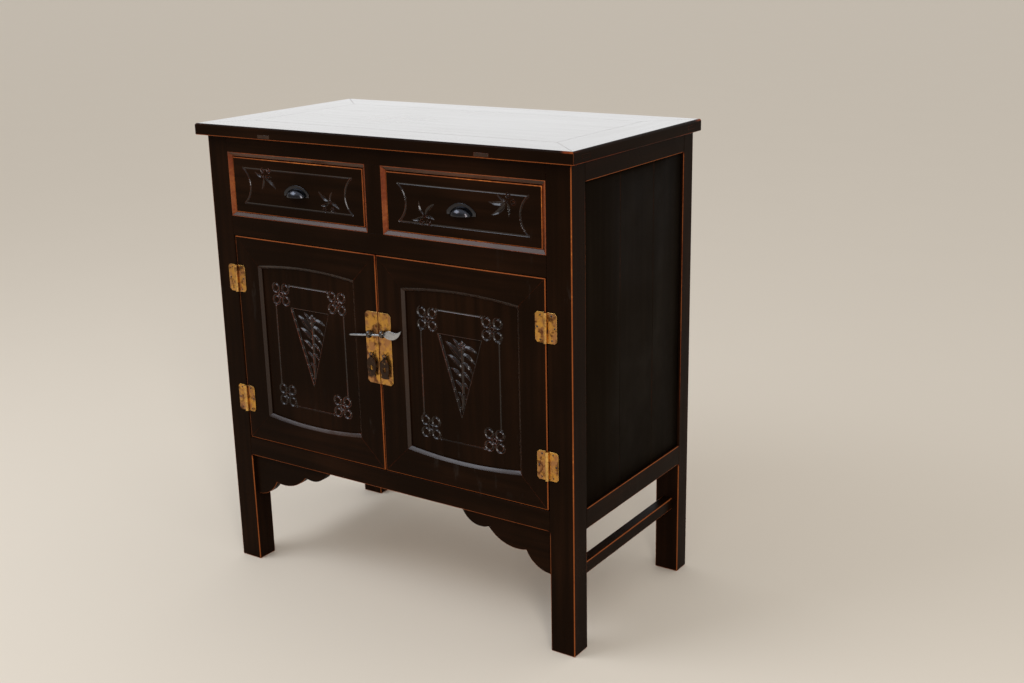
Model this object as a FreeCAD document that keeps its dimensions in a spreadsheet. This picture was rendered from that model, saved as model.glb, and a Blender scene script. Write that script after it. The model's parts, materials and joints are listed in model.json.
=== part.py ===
import FreeCAD, Part
import os
import re
import Sketcher
from FreeCAD import Placement, Rotation, Vector

# Carved cabinet with two drawers over two doors, in millimetres.
# The origin is on the floor under the middle of the top, +X to the right, +Y to the back, +Z up.

# Driving dimensions, kept in the sheet under these names
SIZES = {
    # carcass
    "height": 860,
    "body_width": 776,
    "body_depth": 414,
    "post_face": 47,
    "front_post_side": 42,
    "rear_post_side": 36,
    "post_stub": 18,
    "post_stub_height": 5,
    # top
    "top_width": 804,
    "top_depth": 432,
    "top_thick": 21,
    "front_overhang": 16,
    "top_frame_width": 76,
    "top_panel_thick": 10,
    "top_tongue_thick": 5,
    "top_tenon_thick": 6,
    "top_tenon_width": 25,
    "batten_width": 28,
    "batten_spacing": 466,
    "batten_tenon_thick": 6,
    # front rails and divider
    "rail_thick": 24,
    "upper_rail_height": 29,
    "middle_rail_height": 36,
    "lower_rail_height": 37,
    "drawer_zone": 118,
    "door_zone": 398,
    "divider_width": 34,
    "divider_shift": 2.5,
    "divider_tenon": 8,
    # bevelled strips round the drawer openings
    "surround_width": 7.5,
    "surround_depth": 16,
    "surround_bevel": 4.5,
    # side and back frames
    "side_rail_thick": 24,
    "side_upper_height": 34,
    "side_panel_thick": 10,
    "side_panel_recess": 5,
    "back_rail_thick": 18,
    "back_rail_height": 40,
    "back_panel_thick": 8,
    "back_inset": 3,
    "back_panel_recess": 3,
    "panel_lap": 7,
    "stretcher_height": 22,
    "stretcher_width": 20,
    "stretcher_inset": 12,
    # joints between posts and rails
    "tenon_thick": 8,
    "tenon_length": 24,
    "side_tenon_length": 14,
    "tenon_shoulder": 8,
    # bottom board and runners
    "floor_thick": 12,
    "floor_drop": 6,
    "floor_lap": 4,
    "runner_thick": 14,
    "runner_width": 26,
    "guide_height": 12,
    "bearer_thick": 20,
    # aprons
    "bracket_length": 186,
    "bracket_drop": 82,
    "bracket_thick": 16,
    "bracket_setback": 8,
    "heel_sag": 9.5,
    "lobe_sag": 12,
    "tip_sag": 13,
    # drawers
    "drawer_recess": 3.5,
    "drawer_front_thick": 18,
    "drawer_length": 340,
    "drawer_side_thick": 10,
    "drawer_side_drop": 14,
    "drawer_bottom_thick": 6,
    "drawer_bottom_raise": 8,
    "drawer_bottom_lap": 5,
    "drawer_housing": 6,
    "drawer_gap": 0.8,
    "drawer_head_gap": 1.8,
    "drawer_run_gap": 0.3,
    # incised cartouche on the drawer fronts
    "cartouche_margin_side": 25,
    "cartouche_margin_end": 18.5,
    "cartouche_bow": 16,
    "cartouche_line": 3,
    "cartouche_depth": 1.2,
    # cup pulls
    "pull_width": 42,
    "pull_radius": 15,
    "pull_end": 4,
    "pull_wall": 1.4,
    "pull_tab": 8,
    "pull_tab_height": 6,
    "pull_rim": 5,
    "pull_plate": 1.4,
    "pull_lift": 10,
    # doors
    "door_thick": 22,
    "door_gap": 1.2,
    "hinge_gap": 2.4,
    "meeting_gap": 2.2,
    "meeting_shift": 6,
    "frame_width": 51,
    "door_chamfer": 6.5,
    "chamfer_depth": 5,
    "chamfer_lip": 2,
    "door_bow": 8,
    "door_panel_thick": 9,
    "border_width": 162,
    "border_height": 231,
    "border_line": 2.6,
    "border_depth": 1.2,
    "knot_size": 40,
    "triangle_width": 92,
    "triangle_height": 145,
    "triangle_depth": 3,
    # hinges
    "hinge_height": 51,
    "hinge_inset": 80,
    "leaf_width": 20.5,
    "leaf_thick": 1.6,
    "leaf_corner": 4,
    "barrel_radius": 3.2,
    "barrel_clear": 0.3,
    "hinge_pin_radius": 1.5,
    "knuckle_gap": 0.3,
    # lock plate, eyes, pin and pendants
    "plate_width": 27.2,
    "plate_height": 131,
    "plate_thick": 1.5,
    "plate_rise": 31,
    "plate_corner": 5,
    "latch_rise": 28,
    "latch_lift": 3.6,
    "latch_eye_radius": 5.6,
    "latch_eye_wire": 1.5,
    "pendant_drop": 12,
    "pendant_eye_radius": 3.9,
    "pendant_eye_wire": 0.9,
    "eye_shank_length": 12,
    "latch_pin_radius": 2,
    "latch_tip": 4,
    "latch_reach": 44,
    "latch_head_gap": 4,
    "leaf_head_length": 38,
    "leaf_head_thick": 3,
    "leaf_tip_rise": 8.3,
    "leaf_shoulder_rise": 7,
    "leaf_belly": 11,
    "leaf_hollow": 3.2,
    "leaf_crown": 2.5,
    "pendant_width": 20,
    "pendant_length": 40,
    "pendant_thick": 2,
    "pendant_hole_radius": 1.5,
    "pendant_web": 1.6,
    "pendant_swell": 1.2,
    "pendant_slot_width": 6,
    "pendant_slot_height": 6,
    "pendant_slot_bow": 1.5,
    # clearances
    "fit_gap": 0.15,
    "running_gap": 0.05,
    "seat_gap": 0.3,
    "overrun": 2,
}

# Foot of the side stretchers: share of the height under the lower rails
STRETCHER_SHARE = 0.58

# Lines and faces that several pieces share, as formulas on the sizes
LINES = {
    "post_in": "body_width / 2 - post_face",
    "front": "front_overhang - top_depth / 2",
    "rear": "front + body_depth",
    "rail_back": "front + rail_thick",
    "post_back": "front + front_post_side",
    "rear_in": "rear - rear_post_side",
    "under_top": "height - top_thick",
    "upper_low": "under_top - upper_rail_height",
    "middle_top": "upper_low - drawer_zone",
    "door_head": "middle_top - middle_rail_height",
    "door_sill": "door_head - door_zone",
    "lower_low": "door_sill - lower_rail_height",
    "stretcher_low": f"lower_low * {STRETCHER_SHARE}",
    "side_out": "body_width / 2",
    "side_in": "side_out - side_rail_thick",
    "side_upper_low": "under_top - side_upper_height",
    "side_panel_out": "side_out - side_panel_recess",
    "side_panel_in": "side_panel_out - side_panel_thick",
    "back_rail_out": "rear - back_inset",
    "back_rail_in": "back_rail_out - back_rail_thick",
    "back_panel_out": "back_rail_out - back_panel_recess",
    "back_panel_in": "back_panel_out - back_panel_thick",
    "floor_top": "door_sill - floor_drop",
    "floor_low": "floor_top - floor_thick",
    "runner_top": "middle_top + surround_width",
    "runner_low": "runner_top - runner_thick",
    "divider_left": "-divider_shift - divider_width / 2",
    "divider_right": "-divider_shift + divider_width / 2",
    "drawer_face": "front + drawer_recess",
    "drawer_front_back": "drawer_face + drawer_front_thick",
    "drawer_back_face": "drawer_face + drawer_length",
    "drawer_low": "runner_top + drawer_run_gap",
    "drawer_high": "upper_low - surround_width - drawer_head_gap",
    "drawer_side_high": "drawer_high - drawer_side_drop",
    "drawer_bottom_low": "drawer_low + drawer_bottom_raise",
    "drawer_bottom_high": "drawer_bottom_low + drawer_bottom_thick",
    "door_low": "door_sill + door_gap",
    "door_high": "door_head - door_gap",
    "door_mid": "(door_low + door_high) / 2",
    "door_edge": "post_in - hinge_gap",
    "member_width": "frame_width + door_chamfer",
    "door_panel_face": "front + chamfer_depth + chamfer_lip",
    "door_panel_back": "door_panel_face + door_panel_thick",
    "axle_x": "post_in - hinge_gap / 2",
    "axle_y": "front - barrel_radius - barrel_clear",
    "knuckle_length": "hinge_height / 3",
    "plate_face": "front - plate_thick",
    "plate_mid": "door_mid + plate_rise",
    "eye_offset": "(meeting_gap + plate_width) / 2",
    "latch_y": "plate_face - latch_eye_radius - latch_eye_wire",
    "latch_z": "plate_mid + latch_rise",
    "latch_pin_z": "latch_z - latch_eye_radius + latch_eye_wire + latch_pin_radius + seat_gap",
    "pendant_y": "plate_face - pendant_eye_radius - pendant_eye_wire",
    "pendant_z": "plate_mid - pendant_drop",
    "latch_start": "-eye_offset - latch_eye_wire - latch_reach",
    "latch_root": "eye_offset + latch_eye_wire + latch_head_gap",
}

# Scallops of the apron brackets: shares of the length from the post and of the drop
SCALLOP_CUSP_SHARES = (0.285, 0.60)
SCALLOP_CREST_SHARES = (0.70, 0.287)

# Outline of the pendants from the foot up one side: shares of the length down from the crown,
# of half the width, and of the swell of the edge that follows
PENDANT_OUTLINE_SHARES = (
    (1.0, 0.0, 0.5), (0.95, 0.95, 0), (0.82, 0.68, 1), (0.5, 0.95, 1), (0.2, 0.75, 0),
    (0.09, 0.35, 0), (0.0, 0.35, 0),
)
PENDANT_SLOT_SHARE = 0.585

# Shoulder of the latch pin's leaf: share of the leaf's length from its root
LEAF_SHOULDER_SHARE = 0.42

doc = FreeCAD.newDocument("carved_cabinet")
sheet = doc.addObject("Spreadsheet::Sheet", "sizes")
for row, (alias, size) in enumerate(SIZES.items(), start=1):
    sheet.set(f"A{row}", alias)
    sheet.set(f"B{row}", str(size))
    sheet.setAlias(f"B{row}", alias)
doc.recompute()

PIECES = []
MORTISES = {}


def ex(formula):
    """Write a formula of named sizes and lines as an expression on the sheet."""
    def swap(match):
        word = match.group(0)
        if word in LINES:
            return "(" + ex(LINES[word]) + ")"
        if word in SIZES:
            return "sizes." + word
        return word
    return re.sub(r"[a-z_]+", swap, str(formula))


def value(formula):
    """The present number of a formula."""
    return float(sheet.evalExpression(ex(formula)))


def flipped(side, low, high):
    """A span on the right, or its mirror image on the left when side is -1."""
    if side > 0:
        return (low, high)
    return (f"-({high})", f"-({low})")


def grown(span, gap="fit_gap"):
    """A span made longer by a gap at both ends."""
    return (f"{span[0]} - ({gap})", f"{span[1]} + ({gap})")


def centred(span, width):
    """A span of the given width on the middle of another span."""
    middle = f"(({span[0]}) + ({span[1]})) / 2"
    return (f"{middle} - ({width}) / 2", f"{middle} + ({width}) / 2")


def place(solid, x, y, z):
    for axis, formula in zip("xyz", (x, y, z)):
        solid.setExpression(f"Placement.Base.{axis}", ex(formula))


def box(name, x, y, z):
    solid = doc.addObject("Part::Box", name)
    for side, (low, high) in zip(("Length", "Width", "Height"), (x, y, z)):
        solid.setExpression(side, ex(f"({high}) - ({low})"))
    place(solid, x[0], y[0], z[0])
    return solid


QUARTER_TURN = 90
AXIS_TURNS = {
    "x": Rotation(Vector(0, 1, 0), QUARTER_TURN),
    "y": Rotation(Vector(1, 0, 0), -QUARTER_TURN),
    "z": Rotation(),
}


def rod(name, axis, radius, length, x, y, z):
    """A cylinder that starts at the given point and runs along an axis."""
    solid = doc.addObject("Part::Cylinder", name)
    solid.setExpression("Radius", ex(radius))
    solid.setExpression("Height", ex(length))
    solid.Placement = Placement(Vector(), AXIS_TURNS[axis])
    place(solid, x, y, z)
    return solid


def ring(name, radius, wire, x, y, z):
    """A round ring in the plane across X."""
    solid = doc.addObject("Part::Torus", name)
    solid.setExpression("Radius1", ex(radius))
    solid.setExpression("Radius2", ex(wire))
    solid.Placement = Placement(Vector(), AXIS_TURNS["x"])
    place(solid, x, y, z)
    return solid


def cut(name, base, *tools):
    for count, tool in enumerate(tools):
        result = doc.addObject("Part::Cut", f"{name}_cut{count}")
        result.Base = base
        result.Tool = tool
        base = result
    return base


def fuse(name, *solids):
    result = doc.addObject("Part::MultiFuse", f"{name}_fused")
    result.Shapes = list(solids)
    result.Refine = True
    return result


def group(name, solids):
    result = doc.addObject("Part::Compound", f"{name}_group")
    result.Links = list(solids)
    return result


def piece(name, solid):
    """Take a finished solid, or a group of like solids, as a sub-part."""
    solid.Label = name
    PIECES.append(solid)


def mitred(name, along, inward, start, length, width, thick, bevel="0"):
    """A strip with mitred ends; along the inner edge its front is cut back by the bevel."""
    solid = doc.addObject("Part::Wedge", name)
    bounds = {
        "Xmin": "0", "Xmax": length, "X2min": width, "X2max": f"({length}) - ({width})",
        "Ymin": "0", "Ymax": width,
        "Zmin": "0", "Zmax": thick, "Z2min": bevel, "Z2max": thick,
    }
    for bound, formula in bounds.items():
        solid.setExpression(bound, ex(formula))
    solid.Placement = Placement(Vector(), Rotation(along, inward, Vector(0, 1, 0), "XYZ"))
    place(solid, *start)
    return solid


def mitred_frame(name, x, z, front_y, width, thick, bevel="0"):
    """The four mitred strips round a rectangle: left, right, top, bottom."""
    tall = f"({z[1]}) - ({z[0]})"
    wide = f"({x[1]}) - ({x[0]})"
    right = Vector(1, 0, 0)
    up = Vector(0, 0, 1)
    corners = {
        "left": (up, right, (x[0], front_y, z[0]), tall),
        "right": (-up, -right, (x[1], front_y, z[1]), tall),
        "top": (right, -up, (x[0], front_y, z[1]), wide),
        "bottom": (-right, up, (x[1], front_y, z[0]), wide),
    }
    return {
        edge: mitred(f"{name}_{edge}", along, inward, start, length, width, thick, bevel)
        for edge, (along, inward, start, length) in corners.items()
    }


def draw(sketch, loops):
    """Draw closed loops of (u, v, bulge); a bulge swells the next edge to the right of its course."""
    for loop in loops:
        points = [Vector(value(u), value(v), 0) for u, v, bulge in loop]
        edges = []
        for index, (u, v, bulge) in enumerate(loop):
            start = points[index]
            end = points[(index + 1) % len(loop)]
            if bulge is None:
                edge = sketch.addGeometry(Part.LineSegment(start, end))
                edges.append((edge, 1, 2))
                continue
            course = (end - start).normalize()
            crown = (start + end) / 2 + Vector(course.y, -course.x, 0) * value(bulge)
            if value(bulge) > 0:
                edge = sketch.addGeometry(Part.Arc(start, crown, end))
                edges.append((edge, 1, 2))
            else:
                edge = sketch.addGeometry(Part.Arc(end, crown, start))
                edges.append((edge, 2, 1))
            next_u, next_v, next_bulge = loop[(index + 1) % len(loop)]
            chord = f"((({next_u}) - ({u}))^2 + (({next_v}) - ({v}))^2)"
            radius = f"({chord} / 4 + ({bulge})^2) / (2 * abs({bulge}))"
            bind(sketch, "Radius", (edge, value(radius)), radius)
        for index, (edge, first, last) in enumerate(edges):
            follower, follower_first, follower_last = edges[(index + 1) % len(edges)]
            sketch.addConstraint(
                Sketcher.Constraint("Coincident", edge, last, follower, follower_first))
            u, v, bulge = loop[index]
            bind(sketch, "DistanceX", (-1, 1, edge, first, value(u)), u)
            bind(sketch, "DistanceY", (-1, 1, edge, first, value(v)), v)


def bind(sketch, kind, parts, formula):
    number = sketch.addConstraint(Sketcher.Constraint(kind, *parts))
    sketch.setExpression(f"Constraints[{number}]", ex(formula))


def ring_sketch(name, loops, y):
    """A free sketch of closed loops, upright, at a depth of the cabinet."""
    sketch = doc.addObject("Sketcher::SketchObject", name)
    draw(sketch, loops)
    sketch.Placement = Placement(Vector(), Rotation(Vector(1, 0, 0), QUARTER_TURN))
    place(sketch, "0", y, "0")
    return sketch


def front_sketch(body, name, loops, depth):
    """A sketch on a body's upright plane, a depth in front of it."""
    sketch = body.newObject("Sketcher::SketchObject", name)
    upright = [plane for plane in body.Origin.OriginFeatures if plane.Role == "XZ_Plane"]
    sketch.AttachmentSupport = (upright[0], [""])
    sketch.MapMode = "FlatFace"
    sketch.setExpression("AttachmentOffset.Base.z", ex(depth))
    draw(sketch, loops)
    return sketch


def slab(name, loops, back_y, thick):
    """An upright board of the given outline, from its back face forwards."""
    body = doc.addObject("PartDesign::Body", f"{name}_body")
    pad = body.newObject("PartDesign::Pad", f"{name}_pad")
    pad.Profile = front_sketch(body, f"{name}_outline", loops, "0")
    pad.setExpression("Length", ex(thick))
    body.setExpression("Placement.Base.y", ex(back_y))
    return body


def sink(body, name, loops, thick, depth):
    """Sink loops into the front of a board."""
    pocket = body.newObject("PartDesign::Pocket", f"{name}_pocket")
    pocket.Profile = front_sketch(body, f"{name}_lines", loops, thick)
    pocket.setExpression("Length", ex(depth))


def rectangle(x, z):
    return [(x[0], z[0], None), (x[1], z[0], None), (x[1], z[1], None), (x[0], z[1], None)]


def barrel(x, z, bow):
    """A rectangle whose top and bottom edges swell outwards."""
    return [(x[0], z[0], bow), (x[1], z[0], None), (x[1], z[1], bow), (x[0], z[1], None)]


def mortise(post, name, x, y, z):
    MORTISES.setdefault(post, []).append(box(f"{post}_{name}", x, y, z))


# Rails between the posts, each with a tenon at both ends

def cross_rail(name, place_name, y, z):
    """A rail along X between the left and right posts."""
    tenon_y = centred(y, "tenon_thick")
    tenon_z = grown(z, "-tenon_shoulder")
    beam = box(f"{name}_beam", ("-(post_in)", "post_in"), y, z)
    tenons = box(f"{name}_tenons", ("-(post_in) - tenon_length", "post_in + tenon_length"),
                 tenon_y, tenon_z)
    for side, hand in ((-1, "left"), (1, "right")):
        hole = flipped(side, "post_in - overrun", "post_in + tenon_length + fit_gap")
        mortise(f"post_{place_name}_{hand}", name, hole, grown(tenon_y), grown(tenon_z))
    return fuse(name, beam, tenons)


def depth_rail(name, side, hand, x, z, shoulder="tenon_shoulder"):
    """A rail along Y between the front and rear posts of one side."""
    x = flipped(side, *x)
    tenon_x = centred(x, "tenon_thick")
    tenon_z = grown(z, f"-({shoulder})")
    beam = box(f"{name}_beam", x, ("post_back", "rear_in"), z)
    tenons = box(f"{name}_tenons", tenon_x,
                 ("post_back - side_tenon_length", "rear_in + side_tenon_length"), tenon_z)
    front_hole = ("post_back - side_tenon_length - fit_gap", "post_back + overrun")
    rear_hole = ("rear_in - overrun", "rear_in + side_tenon_length + fit_gap")
    mortise(f"post_front_{hand}", name, grown(tenon_x), front_hole, grown(tenon_z))
    mortise(f"post_rear_{hand}", name, grown(tenon_x), rear_hole, grown(tenon_z))
    return fuse(name, beam, tenons)


HANDS = ((-1, "left"), (1, "right"))
FRONT_RAIL = ("front", "rail_back")
BACK_RAIL = ("back_rail_in", "back_rail_out")
SIDE_RAIL = ("side_in", "side_out")


def front_rails():
    upper = cross_rail("front_upper_rail", "front", FRONT_RAIL, ("upper_low", "under_top"))
    middle = cross_rail("front_middle_rail", "front", FRONT_RAIL, ("door_head", "middle_top"))
    lower = cross_rail("front_lower_rail", "front", FRONT_RAIL, ("lower_low", "door_sill"))
    across = ("divider_left", "divider_right")
    stub_y = centred(FRONT_RAIL, "tenon_thick")
    stub_x = grown(across, "-tenon_shoulder")
    stub_z = ("middle_top - divider_tenon", "upper_low + divider_tenon")
    post = box("drawer_divider_beam", across, FRONT_RAIL, ("middle_top", "upper_low"))
    stubs = box("drawer_divider_stubs", stub_x, stub_y, stub_z)
    holes = box("drawer_divider_holes", grown(stub_x), grown(stub_y), grown(stub_z))
    floor_groove = box("front_floor_groove", ("-(post_in)", "post_in"),
                       ("rail_back - floor_lap - fit_gap", "rail_back + overrun"),
                       grown(("floor_low", "floor_top")))
    piece("front_upper_rail", cut("front_upper_rail", upper, holes))
    piece("front_middle_rail", cut("front_middle_rail", middle, holes))
    piece("front_lower_rail", cut("front_lower_rail", lower, floor_groove))
    piece("drawer_divider", fuse("drawer_divider", post, stubs))


def back_rails():
    lap = ("back_panel_in", "back_panel_out")
    groove_z = ("door_sill - panel_lap", "under_top - back_rail_height + panel_lap")
    groove_x = ("-(post_in) - panel_lap", "post_in + panel_lap")
    panel = box("back_panel_board", groove_x, lap, groove_z)
    groove = box("back_panel_groove", grown(groove_x), grown(lap), grown(groove_z))
    upper = cross_rail("back_upper_rail", "rear", BACK_RAIL,
                       ("under_top - back_rail_height", "under_top"))
    lower = cross_rail("back_lower_rail", "rear", BACK_RAIL, ("lower_low", "door_sill"))
    floor_groove = box("back_floor_groove", ("-(post_in)", "post_in"),
                       ("back_rail_in - overrun", "back_rail_in + floor_lap + fit_gap"),
                       grown(("floor_low", "floor_top")))
    piece("back_upper_rail", cut("back_upper_rail", upper, groove))
    piece("back_lower_rail", cut("back_lower_rail", lower, groove, floor_groove))
    piece("back_panel", panel)
    for side, hand in HANDS:
        MORTISES[f"post_rear_{hand}"].append(groove)


def sides():
    stretchers = []
    for side, hand in HANDS:
        lap = flipped(side, "side_panel_in", "side_panel_out")
        reach_y = ("post_back - panel_lap", "rear_in + panel_lap")
        reach_z = ("door_sill - panel_lap", "side_upper_low + panel_lap")
        panel = box(f"side_panel_{hand}_board", lap, reach_y, reach_z)
        groove = box(f"side_panel_{hand}_groove", grown(lap), grown(reach_y), grown(reach_z))
        upper = depth_rail(f"side_upper_rail_{hand}", side, hand, SIDE_RAIL,
                           ("side_upper_low", "under_top"))
        lower = depth_rail(f"side_lower_rail_{hand}", side, hand, SIDE_RAIL,
                           ("lower_low", "door_sill"))
        floor_groove = box(f"side_floor_groove_{hand}",
                           flipped(side, "side_in - overrun", "side_in + floor_lap + fit_gap"),
                           ("post_back", "rear_in"), grown(("floor_low", "floor_top")))
        piece(f"side_upper_rail_{hand}", cut(f"side_upper_rail_{hand}", upper, groove))
        piece(f"side_lower_rail_{hand}",
              cut(f"side_lower_rail_{hand}", lower, groove, floor_groove))
        piece(f"side_panel_{hand}", panel)
        MORTISES[f"post_front_{hand}"].append(groove)
        MORTISES[f"post_rear_{hand}"].append(groove)
        stretchers.append(depth_rail(
            f"side_stretcher_{hand}", side, hand,
            ("side_out - stretcher_inset - stretcher_width", "side_out - stretcher_inset"),
            ("stretcher_low", "stretcher_low + stretcher_height"), "tenon_shoulder / 2"))
    piece("side_stretchers", group("side_stretchers", stretchers))


STUBS = []


def posts():
    faces = {"front": ("front", "post_back"), "rear": ("rear_in", "rear")}
    for depth, y in faces.items():
        for side, hand in HANDS:
            name = f"post_{depth}_{hand}"
            x = flipped(side, "post_in", "side_out")
            shaft = box(f"{name}_shaft", x, y, ("0", "under_top"))
            stub_x = centred(x, "post_stub")
            stub_y = centred(y, "post_stub")
            stub_z = ("under_top - overrun", "under_top + post_stub_height")
            stub = box(f"{name}_stub", stub_x, stub_y, stub_z)
            STUBS.append(box(f"{name}_stub_hole", grown(stub_x), grown(stub_y), grown(stub_z)))
            whole = fuse(name, shaft, stub)
            piece(name, cut(name, whole, *MORTISES[name]))


# Top: a mitred frame with through tenons, a flush panel in its groove and two battens under it

def flat_mitred(name, along, inward, start, length):
    """A mitred member of the top frame, lying flat, from its outer lower edge."""
    solid = doc.addObject("Part::Wedge", name)
    bounds = {
        "Xmin": "0", "Xmax": length,
        "X2min": "top_frame_width", "X2max": f"({length}) - top_frame_width",
        "Ymin": "0", "Ymax": "top_frame_width",
        "Zmin": "0", "Zmax": "top_thick", "Z2min": "0", "Z2max": "top_thick",
    }
    for bound, formula in bounds.items():
        solid.setExpression(bound, ex(formula))
    solid.Placement = Placement(Vector(), Rotation(along, inward, Vector(0, 0, 1), "XYZ"))
    place(solid, *start)
    return solid


def top():
    right = Vector(1, 0, 0)
    back = Vector(0, 1, 0)
    half_x = "top_width / 2"
    half_y = "top_depth / 2"
    long_rails = {
        "front": flat_mitred("top_front_blank", right, back,
                             (f"-({half_x})", f"-({half_y})", "under_top"), "top_width"),
        "rear": flat_mitred("top_rear_blank", -right, -back,
                            (half_x, half_y, "under_top"), "top_width"),
    }
    ends = {
        "left": flat_mitred("top_left_blank", -back, right,
                            (f"-({half_x})", half_y, "under_top"), "top_depth"),
        "right": flat_mitred("top_right_blank", back, -right,
                             (half_x, f"-({half_y})", "under_top"), "top_depth"),
    }
    inner_x = "top_width / 2 - top_frame_width"
    inner_y = "top_depth / 2 - top_frame_width"
    panel_low = "height - top_panel_thick"
    lap_x = (f"-({inner_x}) - panel_lap", f"{inner_x} + panel_lap")
    lap_y = (f"-({inner_y}) - panel_lap", f"{inner_y} + panel_lap")
    lap_z = (panel_low, f"{panel_low} + top_tongue_thick")
    tongue = box("top_panel_tongue", lap_x, lap_y, lap_z)
    groove = box("top_panel_groove", grown(lap_x), grown(lap_y), grown(lap_z))
    field = box("top_panel_field", (f"-({inner_x})", inner_x), (f"-({inner_y})", inner_y),
                (panel_low, "height"))
    piece("top_panel", fuse("top_panel", tongue, field))

    batten_z = ("under_top", panel_low)
    batten_tenon_z = centred(batten_z, "batten_tenon_thick")
    battens = []
    batten_holes = []
    for side, hand in HANDS:
        middle = f"{side} * batten_spacing / 2"
        x = (f"{middle} - batten_width / 2", f"{middle} + batten_width / 2")
        bar = box(f"batten_{hand}_bar", x, (f"-({inner_y})", inner_y), batten_z)
        tenon = box(f"batten_{hand}_tenon", x, (f"-({half_y})", half_y), batten_tenon_z)
        battens.append(fuse(f"batten_{hand}", bar, tenon))
        batten_holes.append(box(f"batten_{hand}_hole", grown(x),
                                grown((f"-({half_y})", half_y), "overrun"), grown(batten_tenon_z)))
    piece("top_battens", group("top_battens", battens))

    tenon_z = centred(("under_top", "height"), "top_tenon_thick")
    for depth, sign in (("front", -1), ("rear", 1)):
        tenon_y = flipped(sign, *centred((inner_y, half_y), "top_tenon_width"))
        reach = box(f"top_{depth}_tenons", (f"-({half_x})", half_x), tenon_y, tenon_z)
        hole = box(f"top_{depth}_tenon_holes", grown((f"-({half_x})", half_x), "overrun"),
                   grown(tenon_y), grown(tenon_z))
        solid = fuse(f"top_{depth}_rail", long_rails[depth], reach)
        piece(f"top_{depth}_rail",
              cut(f"top_{depth}_rail", solid, groove, *batten_holes, *STUBS))
        for hand in ends:
            ends[hand] = cut(f"top_{hand}_{depth}", ends[hand], hole)
    for hand, blank in ends.items():
        piece(f"top_{hand}_end", cut(f"top_{hand}_end", blank, groove, *STUBS))


# Inside: bottom board, runners and the bearer behind them

def floor_and_runners():
    board = box("bottom_board_blank", ("-(side_in) - floor_lap", "side_in + floor_lap"),
                ("rail_back - floor_lap", "back_rail_in + floor_lap"), ("floor_low", "floor_top"))
    notches = []
    for side, hand in HANDS:
        x = flipped(side, "post_in - fit_gap", "side_out")
        notches.append(box(f"floor_notch_front_{hand}", x, ("front", "post_back + fit_gap"),
                           grown(("floor_low", "floor_top"), "overrun")))
        notches.append(box(f"floor_notch_rear_{hand}", x, ("rear_in - fit_gap", "rear"),
                           grown(("floor_low", "floor_top"), "overrun")))
    piece("bottom_board", cut("bottom_board", board, *notches))

    bearer = box("runner_bearer", ("-(post_in)", "post_in"),
                 ("rear_in - bearer_thick", "rear_in"), ("runner_low", "runner_top"))
    strips = [bearer]
    behind = ("post_back", "rear_in - bearer_thick")
    for side, hand in HANDS:
        guide_in = "post_in - surround_width"
        shelf = box(f"runner_{hand}_shelf",
                    flipped(side, f"{guide_in} - runner_width", "side_panel_in"),
                    behind, ("runner_low", "runner_top"))
        guide = box(f"runner_{hand}_guide", flipped(side, guide_in, "side_panel_in"),
                    behind, ("runner_low", "runner_top + guide_height"))
        strips.append(fuse(f"runner_{hand}", shelf, guide))
    middle = ("rail_back", "rear_in - bearer_thick")
    shelf = box("runner_middle_shelf",
                ("divider_left - surround_width - runner_width",
                 "divider_right + surround_width + runner_width"),
                middle, ("runner_low", "runner_top"))
    guide = box("runner_middle_guide",
                ("divider_left - surround_width", "divider_right + surround_width"),
                middle, ("runner_low", "runner_top + guide_height"))
    strips.append(fuse("runner_middle", shelf, guide))
    piece("drawer_runners", group("drawer_runners", strips))


# Aprons under the lower rail, scalloped in three lobes

def aprons():
    for side, hand in HANDS:
        def across(share_or_size):
            return f"{side} * (post_in - ({share_or_size}))"
        cusp_u, cusp_v = SCALLOP_CUSP_SHARES
        crest_u, crest_v = SCALLOP_CREST_SHARES
        turn = -side
        loop = [
            (across("0"), "lower_low", None),
            (across("0"), "lower_low - bracket_drop", f"{turn} * heel_sag"),
            (across(f"bracket_length * {cusp_u}"), f"lower_low - bracket_drop * {cusp_v}",
             f"{turn} * lobe_sag"),
            (across(f"bracket_length * {crest_u}"), f"lower_low - bracket_drop * {crest_v}",
             f"{turn} * tip_sag"),
            (across("bracket_length"), "lower_low", None),
        ]
        piece(f"apron_bracket_{hand}",
              slab(f"apron_bracket_{hand}", [loop],
                   "front + bracket_setback + bracket_thick", "bracket_thick"))


# Drawers and the bevelled strips round their openings

def cartouche(x, z, inset):
    """A box with straight long edges and ends that curve inwards, drawn in by an even inset."""
    chord = f"(({z[1]}) - ({z[0]}))"
    radius = f"(({chord}^2 / 4 + cartouche_bow^2) / (2 * cartouche_bow))"
    reach = f"sqrt(({radius} + ({inset}))^2 - ({chord} / 2 - ({inset}))^2)"
    bow = f"-({radius} + ({inset}) - {reach})"
    x = grown(x, f"-(cartouche_bow - {radius} + {reach})")
    z = grown(z, f"-({inset})")
    return [(x[0], z[0], None), (x[1], z[0], bow), (x[1], z[1], None), (x[0], z[1], bow)]


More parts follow.
